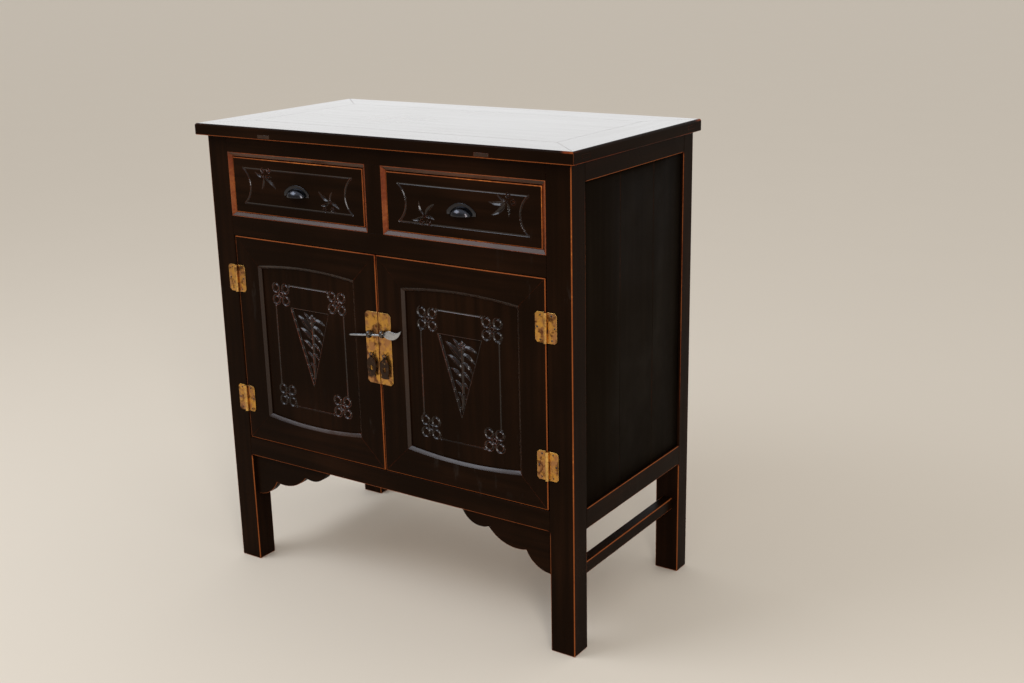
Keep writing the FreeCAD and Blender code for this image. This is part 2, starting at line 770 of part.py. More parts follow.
def cup_pull(name, middle):
    """A quarter-round cup open underneath, on a thin flange."""
    lip = "(drawer_low + drawer_high) / 2 - pull_lift"
    half = "pull_width / 2"
    inner = "pull_width / 2 - pull_wall"
    profile = [
        (f"-({half})", "0", None), (f"-({inner})", "0", None),
        (f"-({inner})", "pull_end", "pull_wall + pull_end - pull_radius"),
        (inner, "pull_end", None), (inner, "0", None),
        (half, "0", None), (half, "pull_end", "pull_radius - pull_end"),
        (f"-({half})", "pull_end", None),
    ]
    cup = doc.addObject("PartDesign::Body", f"{name}_cup")
    turn = cup.newObject("PartDesign::Revolution", f"{name}_turn")
    turn.Profile = front_sketch(cup, f"{name}_profile", [profile], "0")
    turn.ReferenceAxis = (turn.Profile[0], ["H_Axis"])
    turn.Angle = QUARTER_TURN
    place(cup, middle, "drawer_face - pull_plate", lip)
    tab = f"{half} + pull_tab"
    outline = [
        (f"{middle} - ({tab})", lip, None), (f"{middle} + ({tab})", lip, None),
        (f"{middle} + ({tab})", f"{lip} + pull_tab_height",
         "pull_radius + pull_rim - pull_tab_height"),
        (f"{middle} - ({tab})", f"{lip} + pull_tab_height", None),
    ]
    flange = slab(f"{name}_flange", [outline], "drawer_face", "pull_plate")
    return fuse(name, cup, flange)


def drawer(name, x, middle):
    """One drawer in an opening that spans x between a post and the divider."""
    front_x = grown(x, "-surround_width - drawer_gap")
    front_z = ("drawer_low", "drawer_high")
    front = slab(f"{name}_front", [rectangle(front_x, front_z)], "drawer_front_back",
                 "drawer_front_thick")
    line_x = grown(front_x, "-cartouche_margin_side")
    line_z = grown(front_z, "-cartouche_margin_end")
    sink(front, f"{name}_cartouche",
         [cartouche(line_x, line_z, "0"), cartouche(line_x, line_z, "cartouche_line")],
         "drawer_front_thick", "cartouche_depth")

    housing_y = ("drawer_front_back - drawer_housing", "drawer_front_back + overrun")
    side_z = ("drawer_low", "drawer_side_high")
    bottom_z = ("drawer_bottom_low", "drawer_bottom_high")
    run_y = ("drawer_front_back - drawer_housing + fit_gap", "drawer_back_face")
    side_spans = ((front_x[0], f"{front_x[0]} + drawer_side_thick"),
                  (f"{front_x[1]} - drawer_side_thick", front_x[1]))
    bottom_x = (f"{side_spans[0][1]} - drawer_bottom_lap", f"{side_spans[1][0]} + drawer_bottom_lap")
    bottom_y = ("drawer_front_back - drawer_bottom_lap", "drawer_back_face")
    groove = box(f"{name}_bottom_groove", grown(bottom_x), grown(bottom_y, "overrun"),
                 grown(bottom_z))
    front_groove = box(f"{name}_front_groove", grown(bottom_x),
                       ("drawer_front_back - drawer_bottom_lap - fit_gap",
                        "drawer_front_back + overrun"), grown(bottom_z))
    walls = []
    housings = []
    for number, span in enumerate(side_spans):
        wall = box(f"{name}_side{number}", span, run_y, side_z)
        walls.append(cut(f"{name}_side{number}", wall, groove))
        housings.append(box(f"{name}_housing{number}", grown(span, "fit_gap"), housing_y,
                            grown(side_z)))
    piece(f"{name}_front", cut(f"{name}_front", front, front_groove, *housings))
    piece(f"{name}_sides", group(f"{name}_sides", walls))
    piece(f"{name}_back", box(f"{name}_back_board", (side_spans[0][1], side_spans[1][0]),
                              ("drawer_back_face - drawer_side_thick", "drawer_back_face"),
                              ("drawer_bottom_high", "drawer_side_high")))
    piece(f"{name}_bottom", box(f"{name}_bottom_board", bottom_x, bottom_y, bottom_z))
    piece(f"{name}_pull", cup_pull(f"{name}_pull", middle))


def drawers():
    openings = {
        "left_drawer": ("-(post_in)", "divider_left"),
        "right_drawer": ("divider_right", "post_in"),
    }
    strips = []
    for name, x in openings.items():
        drawer(name, x, f"(({x[0]}) + ({x[1]})) / 2")
        frame = mitred_frame(f"{name}_surround", x, ("middle_top", "upper_low"), "front",
                             "surround_width", "surround_depth", "surround_bevel")
        strips.extend(frame.values())
    piece("drawer_surrounds", group("drawer_surrounds", strips))


# Doors

def lug(name, x, y, z, radius, wire):
    """An eye with a shank that goes back through the plate into the stile."""
    eye = ring(f"{name}_eye", radius, wire, x, y, z)
    shank = rod(f"{name}_shank", "y", wire, f"{radius} + {wire} + plate_thick + eye_shank_length",
                x, f"{y} + {radius}", z)
    hole = rod(f"{name}_hole", "y", f"{wire} + fit_gap",
               f"{radius} + {wire} + plate_thick + eye_shank_length + fit_gap",
               x, f"{y} + {radius}", z)
    return fuse(name, eye, shank), hole


def pendant(name, x):
    """A flat drop that hangs from its eye by a hole, with an opening through its belly."""
    eye_low = "pendant_z - pendant_eye_radius"
    crown = f"{eye_low} + pendant_hole_radius + pendant_web"

    def corner(sign, shares, swell):
        drop, half, _ = shares
        across = f"{x} + {sign} * pendant_width / 2 * {half}"
        return (across, f"{crown} - pendant_length * {drop}", f"pendant_swell * {swell}" if swell else None)

    outline = [corner(1, shares, shares[2]) for shares in PENDANT_OUTLINE_SHARES]
    for before, shares in reversed(list(zip(PENDANT_OUTLINE_SHARES, PENDANT_OUTLINE_SHARES[1:]))):
        outline.append(corner(-1, shares, before[2]))
    body = slab(name, [outline], "pendant_y + pendant_thick / 2", "pendant_thick")
    slot_mid = f"{crown} - pendant_length * {PENDANT_SLOT_SHARE}"
    slot = barrel((f"{x} - pendant_slot_width / 2", f"{x} + pendant_slot_width / 2"),
                  (f"{slot_mid} - pendant_slot_height / 2", f"{slot_mid} + pendant_slot_height / 2"),
                  "pendant_slot_bow")
    sink(body, f"{name}_slot", [slot], "pendant_thick", "pendant_thick")
    hole = rod(f"{name}_hole", "y", "pendant_hole_radius", "pendant_thick + 2 * overrun",
               x, "pendant_y - pendant_thick / 2 - overrun", eye_low)
    return cut(name, body, hole)


def door(name, side, x):
    z = ("door_low", "door_high")
    members = mitred_frame(f"{name}_member", x, z, "front", "member_width", "door_thick")
    face_x = grown(x, "-frame_width")
    face_z = grown(z, "-frame_width")
    inner_x = grown(x, "-(member_width)")
    inner_z = grown(z, "-(member_width)")
    mouth = ring_sketch(f"{name}_mouth", [barrel(face_x, face_z, "door_bow")], "front")
    throat = ring_sketch(f"{name}_throat", [barrel(inner_x, inner_z, "door_bow")],
                         "front + chamfer_depth")
    bevel = doc.addObject("Part::Loft", f"{name}_bevel")
    bevel.Sections = [mouth, throat]
    bevel.Solid = True
    bevel.Ruled = True
    through = doc.addObject("Part::Extrusion", f"{name}_through")
    through.Base = throat
    through.DirMode = "Custom"
    through.Dir = Vector(0, 1, 0)
    through.Solid = True
    through.setExpression("LengthFwd", ex("door_thick"))

    lap_x = grown(inner_x, "panel_lap")
    lap_z = grown(inner_z, "door_bow + panel_lap")
    lap_y = ("door_panel_face", "door_panel_back")
    groove = box(f"{name}_panel_groove", grown(lap_x), grown(lap_y), grown(lap_z))
    piece(f"{name}_panel", door_panel(f"{name}_panel", x, lap_x, lap_z))

    meet_x = f"-meeting_shift + {side} * eye_offset"
    latch, latch_hole = lug(f"{name}_latch_eye", meet_x, "latch_y",
                            f"latch_z + {side} * latch_lift / 2",
                            "latch_eye_radius", "latch_eye_wire")
    hanger, hanger_hole = lug(f"{name}_pendant_eye", meet_x, "pendant_y", "pendant_z",
                              "pendant_eye_radius", "pendant_eye_wire")
    piece(f"{name}_eyes", group(f"{name}_eyes", [latch, hanger]))
    piece(f"{name}_pendant", pendant(f"{name}_pendant", meet_x))
    piece(f"{name}_lock_plate",
          cut(f"{name}_lock_plate", lock_plate(name, side), latch_hole, hanger_hole))

    hinge_edge, meeting_edge = ("left", "right") if side < 0 else ("right", "left")
    roles = {hinge_edge: "hinge_stile", meeting_edge: "meeting_stile",
             "top": "top_rail", "bottom": "bottom_rail"}
    for edge, role in roles.items():
        tools = [bevel, through, groove]
        if role == "meeting_stile":
            tools += [latch_hole, hanger_hole]
        piece(f"{name}_{role}", cut(f"{name}_{role}", members[edge], *tools))


def door_panel(name, x, lap_x, lap_z):
    """The panel with its sunk triangle and the four lines of its border."""
    board = slab(name, [rectangle(lap_x, lap_z)], "door_panel_back", "door_panel_thick")
    middle = f"(({x[0]}) + ({x[1]})) / 2"
    triangle = [
        (middle, "door_mid - triangle_height / 2", None),
        (f"{middle} + triangle_width / 2", "door_mid + triangle_height / 2", None),
        (f"{middle} - triangle_width / 2", "door_mid + triangle_height / 2", None),
    ]
    sink(board, f"{name}_triangle", [triangle], "door_panel_thick", "triangle_depth")
    lines = []
    for sign in (-1, 1):
        upright = f"{middle} + {sign} * border_width / 2"
        level = f"door_mid + {sign} * border_height / 2"
        lines.append(rectangle(
            (f"{upright} - border_line / 2", f"{upright} + border_line / 2"),
            ("door_mid - border_height / 2 + knot_size", "door_mid + border_height / 2 - knot_size")))
        lines.append(rectangle(
            (f"{middle} - border_width / 2 + knot_size", f"{middle} + border_width / 2 - knot_size"),
            (f"{level} - border_line / 2", f"{level} + border_line / 2")))
    sink(board, f"{name}_border", lines, "door_panel_thick", "border_depth")
    return board


def lock_plate(name, side):
    """Half of the lock plate, with its two outer corners cut off."""
    near = f"-meeting_shift + {side} * meeting_gap / 2"
    far = f"{near} + {side} * plate_width"
    cut_in = f"{far} - {side} * plate_corner"
    low = "plate_mid - plate_height / 2"
    high = "plate_mid + plate_height / 2"
    outline = [
        (near, low, None), (cut_in, low, None), (far, f"{low} + plate_corner", None),
        (far, f"{high} - plate_corner", None), (cut_in, high, None), (near, high, None),
    ]
    return slab(f"{name}_lock_plate", [outline], "front", "plate_thick")


# Hinges: one knuckle on the door leaf between the two of the post leaf, on a loose pin

def hinge_leaf(name, side, outward, middle, knuckles):
    """A leaf on the post (outward 1) or on the door (outward -1)."""
    axle = f"{side} * axle_x"
    turn = side * outward
    near = f"{axle} + {turn} * (barrel_radius + knuckle_gap)"
    far = f"{axle} + {turn} * leaf_width"
    corner = f"{far} - {turn} * leaf_corner"
    low = f"{middle} - hinge_height / 2"
    high = f"{middle} + hinge_height / 2"
    outline = [
        (near, low, None), (corner, low, None), (far, f"{low} + leaf_corner", None),
        (far, f"{high} - leaf_corner", None), (corner, high, None), (near, high, None),
    ]
    parts = [slab(f"{name}_plate", [outline], "front", "leaf_thick")]
    bore_start = f"{low} - overrun"
    for number in knuckles:
        start = f"{low} + {number} * knuckle_length + knuckle_gap / 2"
        length = "knuckle_length - knuckle_gap"
        parts.append(rod(f"{name}_knuckle{number}", "z", "barrel_radius", length,
                         axle, "axle_y", start))
        reach = (axle, near) if turn > 0 else (near, axle)
        parts.append(box(f"{name}_strap{number}", reach, ("front - leaf_thick", "front"),
                         (start, f"{start} + {length}")))
    bore = rod(f"{name}_bore", "z", "hinge_pin_radius + running_gap",
               "hinge_height + 2 * overrun", axle, "axle_y", bore_start)
    return cut(name, fuse(name, *parts), bore)


def hinges():
    post_leaves = []
    pins = []
    for side, hand in HANDS:
        door_leaves = []
        for level, middle in (("lower", "door_low + hinge_inset"),
                              ("upper", "door_high - hinge_inset")):
            name = f"{hand}_{level}_hinge"
            post_leaves.append(hinge_leaf(f"{name}_post", side, 1, middle, (0, 2)))
            door_leaves.append(hinge_leaf(f"{name}_door", side, -1, middle, (1,)))
            pins.append(rod(f"{name}_pin", "z", "hinge_pin_radius", "hinge_height",
                            f"{side} * axle_x", "axle_y", f"{middle} - hinge_height / 2"))
        piece(f"{hand}_door_hinge_leaves", group(f"{hand}_door_hinge_leaves", door_leaves))
    piece("hinge_post_leaves", group("hinge_post_leaves", post_leaves))
    piece("hinge_pins", group("hinge_pins", pins))


def latch_pin():
    """A round pin with a flat leaf for a head, home in both eyes and resting on them."""
    body = doc.addObject("PartDesign::Body", "latch_pin_body")
    shank = [
        ("latch_start", "0", None), ("latch_root", "0", None),
        ("latch_root", "latch_pin_radius", None),
        ("latch_start + latch_tip", "latch_pin_radius", None),
        ("latch_start", "latch_pin_radius / 2", None),
    ]
    turn = body.newObject("PartDesign::Revolution", "latch_shank")
    turn.Profile = front_sketch(body, "latch_shank_profile", [shank], "0")
    turn.ReferenceAxis = (turn.Profile[0], ["H_Axis"])
    leaf = [
        ("latch_root - latch_pin_radius", "-latch_pin_radius", "leaf_belly"),
        ("latch_root + leaf_head_length", "leaf_tip_rise", "-leaf_hollow"),
        (f"latch_root + leaf_head_length * {LEAF_SHOULDER_SHARE}", "leaf_shoulder_rise", "leaf_crown"),
        ("latch_root - latch_pin_radius", "latch_pin_radius", None),
    ]
    pad = body.newObject("PartDesign::Pad", "latch_leaf")
    pad.Profile = front_sketch(body, "latch_leaf_outline", [leaf], "-leaf_head_thick / 2")
    pad.setExpression("Length", ex("leaf_head_thick"))
    body.Placement = Placement(Vector(), Rotation(Vector(0, -1, 0), QUARTER_TURN))
    body.setExpression("Placement.Rotation.Angle", ex("atan(latch_lift / (2 * eye_offset))"))
    place(body, "-meeting_shift", "latch_y", "latch_pin_z")
    piece("latch_pin", body)


def doors():
    door("left_door", -1, ("-(door_edge)", "-meeting_shift - meeting_gap / 2"))
    door("right_door", 1, ("-meeting_shift + meeting_gap / 2", "door_edge"))


def check_and_write():
    """Stop on any failed object or bad solid, then write one file for each sub-part."""
    doc.recompute()
    failed = [item.Name for item in doc.Objects if {"Invalid", "Error"} & set(item.State)]
    if failed:
        raise RuntimeError(f"failed objects: {failed}")
    for solid in PIECES:
        if solid.Shape.isNull() or not solid.Shape.isValid() or not solid.Shape.Solids:
            raise RuntimeError(f"bad shape: {solid.Label}")
    os.makedirs("parts", exist_ok=True)
    for solid in PIECES:
        solid.Shape.exportStep(f"parts/{solid.Label}.step")
    print(f"{len(PIECES)} sub-parts written")


front_rails()
back_rails()
sides()
posts()
top()
floor_and_runners()
aprons()
drawers()
doors()
hinges()
latch_pin()
check_and_write()
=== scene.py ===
import json
import math

import bmesh
import bpy
import numpy as np
from bpy.props import FloatProperty, FloatVectorProperty, IntProperty, PointerProperty
from mathutils import Matrix, Vector
from mathutils.bvhtree import BVHTree


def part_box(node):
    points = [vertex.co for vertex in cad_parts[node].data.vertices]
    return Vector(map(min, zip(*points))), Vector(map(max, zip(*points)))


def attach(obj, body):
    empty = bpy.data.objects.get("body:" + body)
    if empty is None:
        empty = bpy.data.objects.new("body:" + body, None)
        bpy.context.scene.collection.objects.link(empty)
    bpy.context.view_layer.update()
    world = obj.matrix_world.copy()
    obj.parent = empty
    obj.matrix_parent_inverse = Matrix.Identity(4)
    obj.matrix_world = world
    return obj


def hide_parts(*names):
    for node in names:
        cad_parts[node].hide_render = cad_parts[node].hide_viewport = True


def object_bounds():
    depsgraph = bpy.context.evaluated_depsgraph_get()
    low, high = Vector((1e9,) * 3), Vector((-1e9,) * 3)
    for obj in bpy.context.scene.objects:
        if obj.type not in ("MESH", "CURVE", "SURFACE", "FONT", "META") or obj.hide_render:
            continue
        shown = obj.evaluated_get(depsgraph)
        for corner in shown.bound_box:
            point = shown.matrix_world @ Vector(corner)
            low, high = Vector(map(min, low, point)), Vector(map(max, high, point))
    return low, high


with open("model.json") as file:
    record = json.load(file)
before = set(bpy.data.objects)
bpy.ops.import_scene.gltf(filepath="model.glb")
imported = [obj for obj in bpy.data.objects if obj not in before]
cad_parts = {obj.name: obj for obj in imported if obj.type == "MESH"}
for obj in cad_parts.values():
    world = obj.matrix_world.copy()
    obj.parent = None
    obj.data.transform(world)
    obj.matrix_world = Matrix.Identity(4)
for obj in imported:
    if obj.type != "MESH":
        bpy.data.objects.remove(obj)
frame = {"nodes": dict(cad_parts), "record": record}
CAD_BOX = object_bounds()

bl_info = {
    "name": "Carved cabinet",
    "version": (1, 0, 0),
    "blender": (4, 5, 0),
    "location": "View3D > Sidebar > Cabinet",
    "description": "Dresses a lacquered cabinet with carved doors and drawer fronts",
    "category": "Object",
}

NODES = frame["nodes"]
BODY_OF = {
    node: body
    for body, members in frame["record"]["behaviour"]["bodies"].items()
    for node in members
}
HANDS = ("left", "right")


def length(name, description, default):
    return FloatProperty(name=name, description=description, default=default, min=0.0, precision=5,
                         unit="LENGTH")


def share(name, description, default):
    return FloatProperty(name=name, description=description, default=default, min=0.0, max=1.0,
                         subtype="FACTOR")


def colour(name, description, default):
    return FloatVectorProperty(name=name, description=description, default=default, size=3,
                               min=0.0, max=1.0, subtype="COLOR")


class CabinetSizes(bpy.types.PropertyGroup):
    """Sizes of the edges, the carving and the small fittings."""

    arris: length("Arris", "Rounding of an exposed wooden edge", 0.0017)
    top_arris: length("Top arris", "Rounding of the upper edges of the top", 0.0036)
    under_arris: length("Under arris", "Rounding of the lower edges of the top", 0.0017)
    joint_arris: length("Joint arris", "Rounding of a wooden edge against its neighbour", 0.0003)
    inner_arris: length("Inner arris", "Rounding of the edges of bare boards", 0.0008)
    metal_arris: length("Metal arris", "Rounding of the edges of the metal fittings", 0.0004)
    surround_width: length("Surround width", "Width of the strips round a drawer", 0.0075)
    surround_bevel: length("Surround bevel", "Fall of the strips towards the drawer", 0.0045)
    panel_step: length("Panel step", "Spacing of the grid that carries a panel's carving", 0.0009)
    drawer_step: length("Drawer step", "Spacing of the grid that carries a drawer's carving", 0.0007)
    line_half: length("Line half", "Half width of an incised line", 0.0010)
    line_depth: length("Line depth", "Depth of an incised line", 0.0006)
    arc_half: length("Arc half", "Half width of the cartouche's curved ends", 0.0017)
    arc_depth: length("Arc depth", "Depth of the cartouche's curved ends", 0.0018)
    carved_layer: length("Carved layer", "Depth of a drawer front that holds its carving", 0.008)
    cartouche_side: length("Cartouche side", "Drawer edge to the cartouche's ends", 0.025)
    cartouche_end: length("Cartouche end", "Drawer edge to the cartouche's long lines", 0.0185)
    cartouche_bow: length("Cartouche bow", "How far the cartouche's ends curve in", 0.016)
    berry_radius: length("Berry radius", "Radius of a berry's cut", 0.0034)
    berry_half: length("Berry half", "Half width of a berry's cut", 0.0014)
    sprig_depth: length("Sprig depth", "Depth of the cuts of a drawer's sprigs", 0.0024)
    border_width: length("Border width", "Width of a door panel's border", 0.162)
    border_height: length("Border height", "Height of a door panel's border", 0.2316)
    knot_across: length("Knot across", "Panel middle to a ring knot, across", 0.067)
    knot_along: length("Knot along", "Panel middle to a ring knot, upwards", 0.0975)
    knot_spread: length("Knot spread", "Knot middle to each of its rings, on both axes", 0.0112)
    knot_radius: length("Knot radius", "Radius of a knot's outer rings", 0.0078)
    knot_core: length("Knot core", "Radius of a knot's middle ring", 0.0048)
    knot_half: length("Knot half", "Half width of a ring's cut", 0.0021)
    knot_depth: length("Knot depth", "Depth of a ring's cut", 0.0021)
    bud_radius: length("Bud radius", "Radius of the bud at the end of a border line", 0.0028)
    triangle_width: length("Triangle width", "Width of the sunk triangle", 0.091)
    triangle_rise: length("Triangle rise", "Panel middle up to the triangle's head", 0.0745)
    triangle_fall: length("Triangle fall", "Panel middle down to the triangle's tip", 0.0695)
    triangle_depth: length("Triangle depth", "Depth of the sunk triangle", 0.0034)
    triangle_wall: length("Triangle wall", "Width of the triangle's sloping walls", 0.0020)
    leaf_height: length("Leaf height", "Rise of the leaves from the sunk ground", 0.0032)
    carving_drop: length("Carving drop", "Panel middle down to the carving's middle", 0.0005)
    right_shift: length("Right shift", "How far the right panel's carving lies to the left", 0.0045)
    seam_half: length("Seam half", "Half width of the seam between two boards", 0.0007)
    seam_depth: length("Seam depth", "Depth of the seam between two boards", 0.0006)
    eye_breadth: FloatProperty(name="Eye breadth", default=2.1, min=1.0,
                               description="Breadth of a latch eye as a multiple of its wire")
    nail_radius: length("Nail radius", "Radius of a hinge nail's head", 0.0016)
    nail_dome: length("Nail dome", "Height of a hinge nail's head", 0.0008)
    nail_spread: share("Nail spread", "How much the nails differ in size", 0.18)
    nail_seed: IntProperty(name="Nail seed", description="Seed of the nails' sizes", default=7)


class CabinetColours(bpy.types.PropertyGroup):
    """Colours of the finishes and of the stage."""

    lacquer: colour("Lacquer", "Black lacquer", (0.0064, 0.0026, 0.0010))
    lacquer_warm: colour("Warm lacquer", "Lacquer rubbed thin over the wood", (0.0142, 0.0052, 0.0020))
    scuff: colour("Scuff", "Grey scuffs on the lacquer", (0.055, 0.048, 0.040))
    rubbed: colour("Rubbed lacquer", "Lacquer on chamfers", (0.036, 0.0152, 0.0064))
    strip: colour("Strip", "Thin lacquer of the strips round the drawers", (0.085, 0.033, 0.015))
    panel: colour("Panel lacquer", "Dull lacquer of the side panels", (0.0066, 0.0042, 0.0024))
    panel_warm: colour("Warm panel", "Thin lacquer of the side panels", (0.0105, 0.0070, 0.0042))
    top: colour("Top lacquer", "Lacquer of the top", (0.030, 0.019, 0.014))
    top_pale: colour("Pale top", "Rubbed streaks of the top", (0.10, 0.075, 0.058))
    worn: colour("Worn edge", "Stained wood along a worn edge", (0.23, 0.062, 0.016))
    worn_bright: colour("Rubbed edge", "Bare wood where an edge is rubbed through", (0.62, 0.19, 0.036))
    worn_deep: colour("Deep wear", "Red ground coat beside a worn edge", (0.14, 0.026, 0.007))
    wood: colour("Bare wood", "Bare boards inside", (0.30, 0.175, 0.085))
    wood_dark: colour("Dark wood", "Dark grain of the bare boards", (0.13, 0.066, 0.030))
    brass: colour("Brass", "Hinges and lock plates", (0.60, 0.305, 0.058))
    brass_haze: colour("Brass haze", "Rosy haze on the brass", (0.36, 0.165, 0.070))
    brass_stain: colour("Brass stain", "Brown stains on the brass", (0.085, 0.026, 0.012))
    brass_bright: colour("Bright brass", "Rubbed edges and knuckles of the brass", (0.80, 0.50, 0.14))
    white_metal: colour("White metal", "Latch pin", (0.43, 0.44, 0.455))
    white_metal_dull: colour("Dull metal", "Tarnish on the pin", (0.19, 0.175, 0.165))
    eye_metal: colour("Eye metal", "Dark metal of the eyes", (0.10, 0.088, 0.078))
    bronze: colour("Bronze", "Pendants", (0.040, 0.024, 0.016))
    bronze_red: colour("Red bronze", "Red patches on the pendants", (0.15, 0.045, 0.018))
    bronze_bright: colour("Bright bronze", "Rubbed parts of the pendants", (0.40, 0.24, 0.095))
    iron: colour("Iron", "Cup pulls and nails", (0.050, 0.053, 0.060))
    iron_rust: colour("Iron rust", "Rust on the iron", (0.060, 0.026, 0.014))
    floor: colour("Floor", "Plain pale floor", (0.68, 0.60, 0.50))
    backdrop: colour("Backdrop", "Pale light behind the cabinet", (1.0, 1.0, 1.0))
    front_light: colour("Front light", "Dimmer light in front of the cabinet", (0.28, 0.27, 0.27))
    ambient: colour("Ambient", "Even light on all surfaces", (0.98, 0.99, 1.0))
    side_light: colour("Side light", "Narrow light at the right", (1.0, 0.98, 0.96))
    sky_light: colour("Sky light", "Cool light from above", (0.80, 0.88, 1.0))


def sizes():
    return bpy.context.scene.cabinet_sizes


def colours():
    return bpy.context.scene.cabinet_colours


# Trees of nodes

MIX_FACTOR, MIX_FIRST, MIX_SECOND = 0, 6, 7
MIX_COLOUR = 2


class Wiring:
    """A tree of nodes under construction."""

    def __init__(self, tree):
        self.tree = tree

    def add(self, kind, inputs=None, **settings):
        """A new node, whose inputs take plain values or the outputs of other nodes."""
        node = self.tree.nodes.new(kind)
        for name, value in settings.items():
            setattr(node, name, value)
        for name, value in (inputs or {}).items():
            if isinstance(value, bpy.types.NodeSocket):
                self.tree.links.new(value, node.inputs[name])
            else:
                node.inputs[name].default_value = value
        return node

    def math(self, operation, first, second):
        return self.add("ShaderNodeMath", {0: first, 1: second}, operation=operation).outputs["Value"]

    def times(self, first, second):
        return self.math("MULTIPLY", first, second)

    def plus(self, first, second):
        return self.math("ADD", first, second)

    def ramp(self, value, span, result=(0.0, 1.0)):
        """The value's place in a span, eased at both ends and spread over the result."""
        node = self.add("ShaderNodeMapRange", {
            "Value": value, "From Min": span[0], "From Max": span[1],
            "To Min": result[0], "To Max": result[1]}, interpolation_type="SMOOTHSTEP")
        return node.outputs["Result"]

    def mix(self, factor, first, second):
        """The first colour where the factor is 0 and the second where it is 1."""
        first, second = (value if isinstance(value, bpy.types.NodeSocket) else (*value, 1.0)
                         for value in (first, second))
        node = self.add("ShaderNodeMix", {MIX_FACTOR: factor, MIX_FIRST: first, MIX_SECOND: second},
                        data_type="RGBA")
        return node.outputs[MIX_COLOUR]


# Finishes

class Finish(Wiring):
    """A surface finish under construction: one material with its shader."""

    def __init__(self, name, **constants):
        self.material = bpy.data.materials.new(name)
        self.material.use_nodes = True
        super().__init__(self.material.node_tree)
        self.shader = self.tree.nodes["Principled BSDF"]
        self.place = self.add("ShaderNodeTexCoord").outputs["Object"]
        for socket, value in constants.items():
            self.shader.inputs[socket.replace("_", " ")].default_value = value

    def noise(self, scale, detail, shift=0.0, rough=0.5):
        """Noise of 0 to 1 over the piece; three scales stretch it along the grain."""
        stretch = scale if isinstance(scale, tuple) else (scale, scale, scale)
        placed = self.add("ShaderNodeMapping", {
            "Vector": self.place, "Location": (shift, shift, shift), "Scale": stretch})
        node = self.add("ShaderNodeTexNoise", {
            "Vector": placed.outputs["Vector"], "Scale": 1.0, "Detail": detail, "Roughness": rough})
        return node.outputs["Fac"]

    def wear(self):
        """The piece's own wear, broken up along its edges."""
        worn = self.add("ShaderNodeAttribute", attribute_name="wear").outputs["Fac"]
        patchy = self.ramp(self.noise(9.0, detail=2.0, shift=3.1), (0.25, 0.70), (0.40, 1.20))
        fine = self.ramp(self.noise(160.0, detail=2.0, shift=1.7), (0.2, 0.8), (0.75, 1.2))
        return self.times(self.times(worn, patchy), fine)

    def worn(self, ground):
        """The ground with its red coat, then stained and at last bare wood, where it is worn."""
        wear = self.wear()
        deep = self.mix(self.ramp(wear, (0.10, 0.45)), ground, colours().worn_deep)
        stained = self.mix(self.ramp(wear, (0.38, 0.80)), deep, colours().worn)
        return self.mix(self.ramp(wear, (1.4, 2.2)), stained, colours().worn_bright)

    def bump(self, height, strength, distance, under=None):
        inputs = {"Height": height, "Strength": strength, "Distance": distance}
        if under is not None:
            inputs["Normal"] = under
        return self.add("ShaderNodeBump", inputs).outputs["Normal"]

    def set(self, **sockets):
        for socket, value in sockets.items():
            self.tree.links.new(value, self.shader.inputs[socket.replace("_", " ")])
        return self.material


GRAINS = {"along_x": (3.0, 70.0, 70.0), "along_y": (70.0, 3.0, 70.0), "along_z": (70.0, 70.0, 3.0)}


def grain_scale(grain, factor):
    return tuple(scale * factor for scale in GRAINS[grain])


# Each lacquer: its dark colour, its colour where it is thin, its gloss and its roughness
LACQUERS = {
    "lacquer": ("lacquer", "lacquer_warm", 0.022, (0.24, 0.42)),
    "rubbed": ("lacquer_warm", "rubbed", 0.3, (0.2, 0.34)),
    "strip": ("rubbed", "strip", 0.17, (0.16, 0.28)),
    "cut": ("lacquer", "lacquer_warm", 0.34, (0.07, 0.14)),
    "panel": ("panel", "panel_warm", 0.01, (0.34, 0.5)),
}


def lacquer(name, grain, dark, warm, gloss, rough):
    """Old lacquer: streaks along the grain, fine waves, and wood showing along worn edges."""
    finish = Finish(name, IOR=1.5, Specular_IOR_Level=gloss)
    tint = colours()
    streak = finish.noise(GRAINS[grain], detail=4.0)
    patch = finish.noise(6.0, detail=3.0, shift=5.3)
    thin = finish.ramp(finish.times(streak, patch), (0.14, 0.52))
    ground = finish.mix(thin, getattr(tint, dark), getattr(tint, warm))
    scratch = finish.noise((38.0, 38.0, 11.0), detail=5.0, shift=8.9, rough=0.65)
    region = finish.noise(4.0, detail=2.0, shift=1.2)
    scuff = finish.times(finish.ramp(scratch, (0.60, 0.72)),
                         finish.ramp(region, (0.50, 0.68), (0.0, 0.3)))
    colour_out = finish.mix(scuff, finish.worn(ground), tint.scuff)
    roughness = finish.ramp(finish.noise(14.0, detail=4.0, shift=2.2), (0.25, 0.75), rough)
    waves = finish.bump(finish.noise(24.0, detail=2.0, shift=6.1), strength=0.10, distance=0.002)
    relief = finish.bump(streak, strength=0.22, distance=0.0004, under=waves)
    return finish.set(Base_Color=colour_out, Roughness=finish.plus(roughness, scuff), Normal=relief)


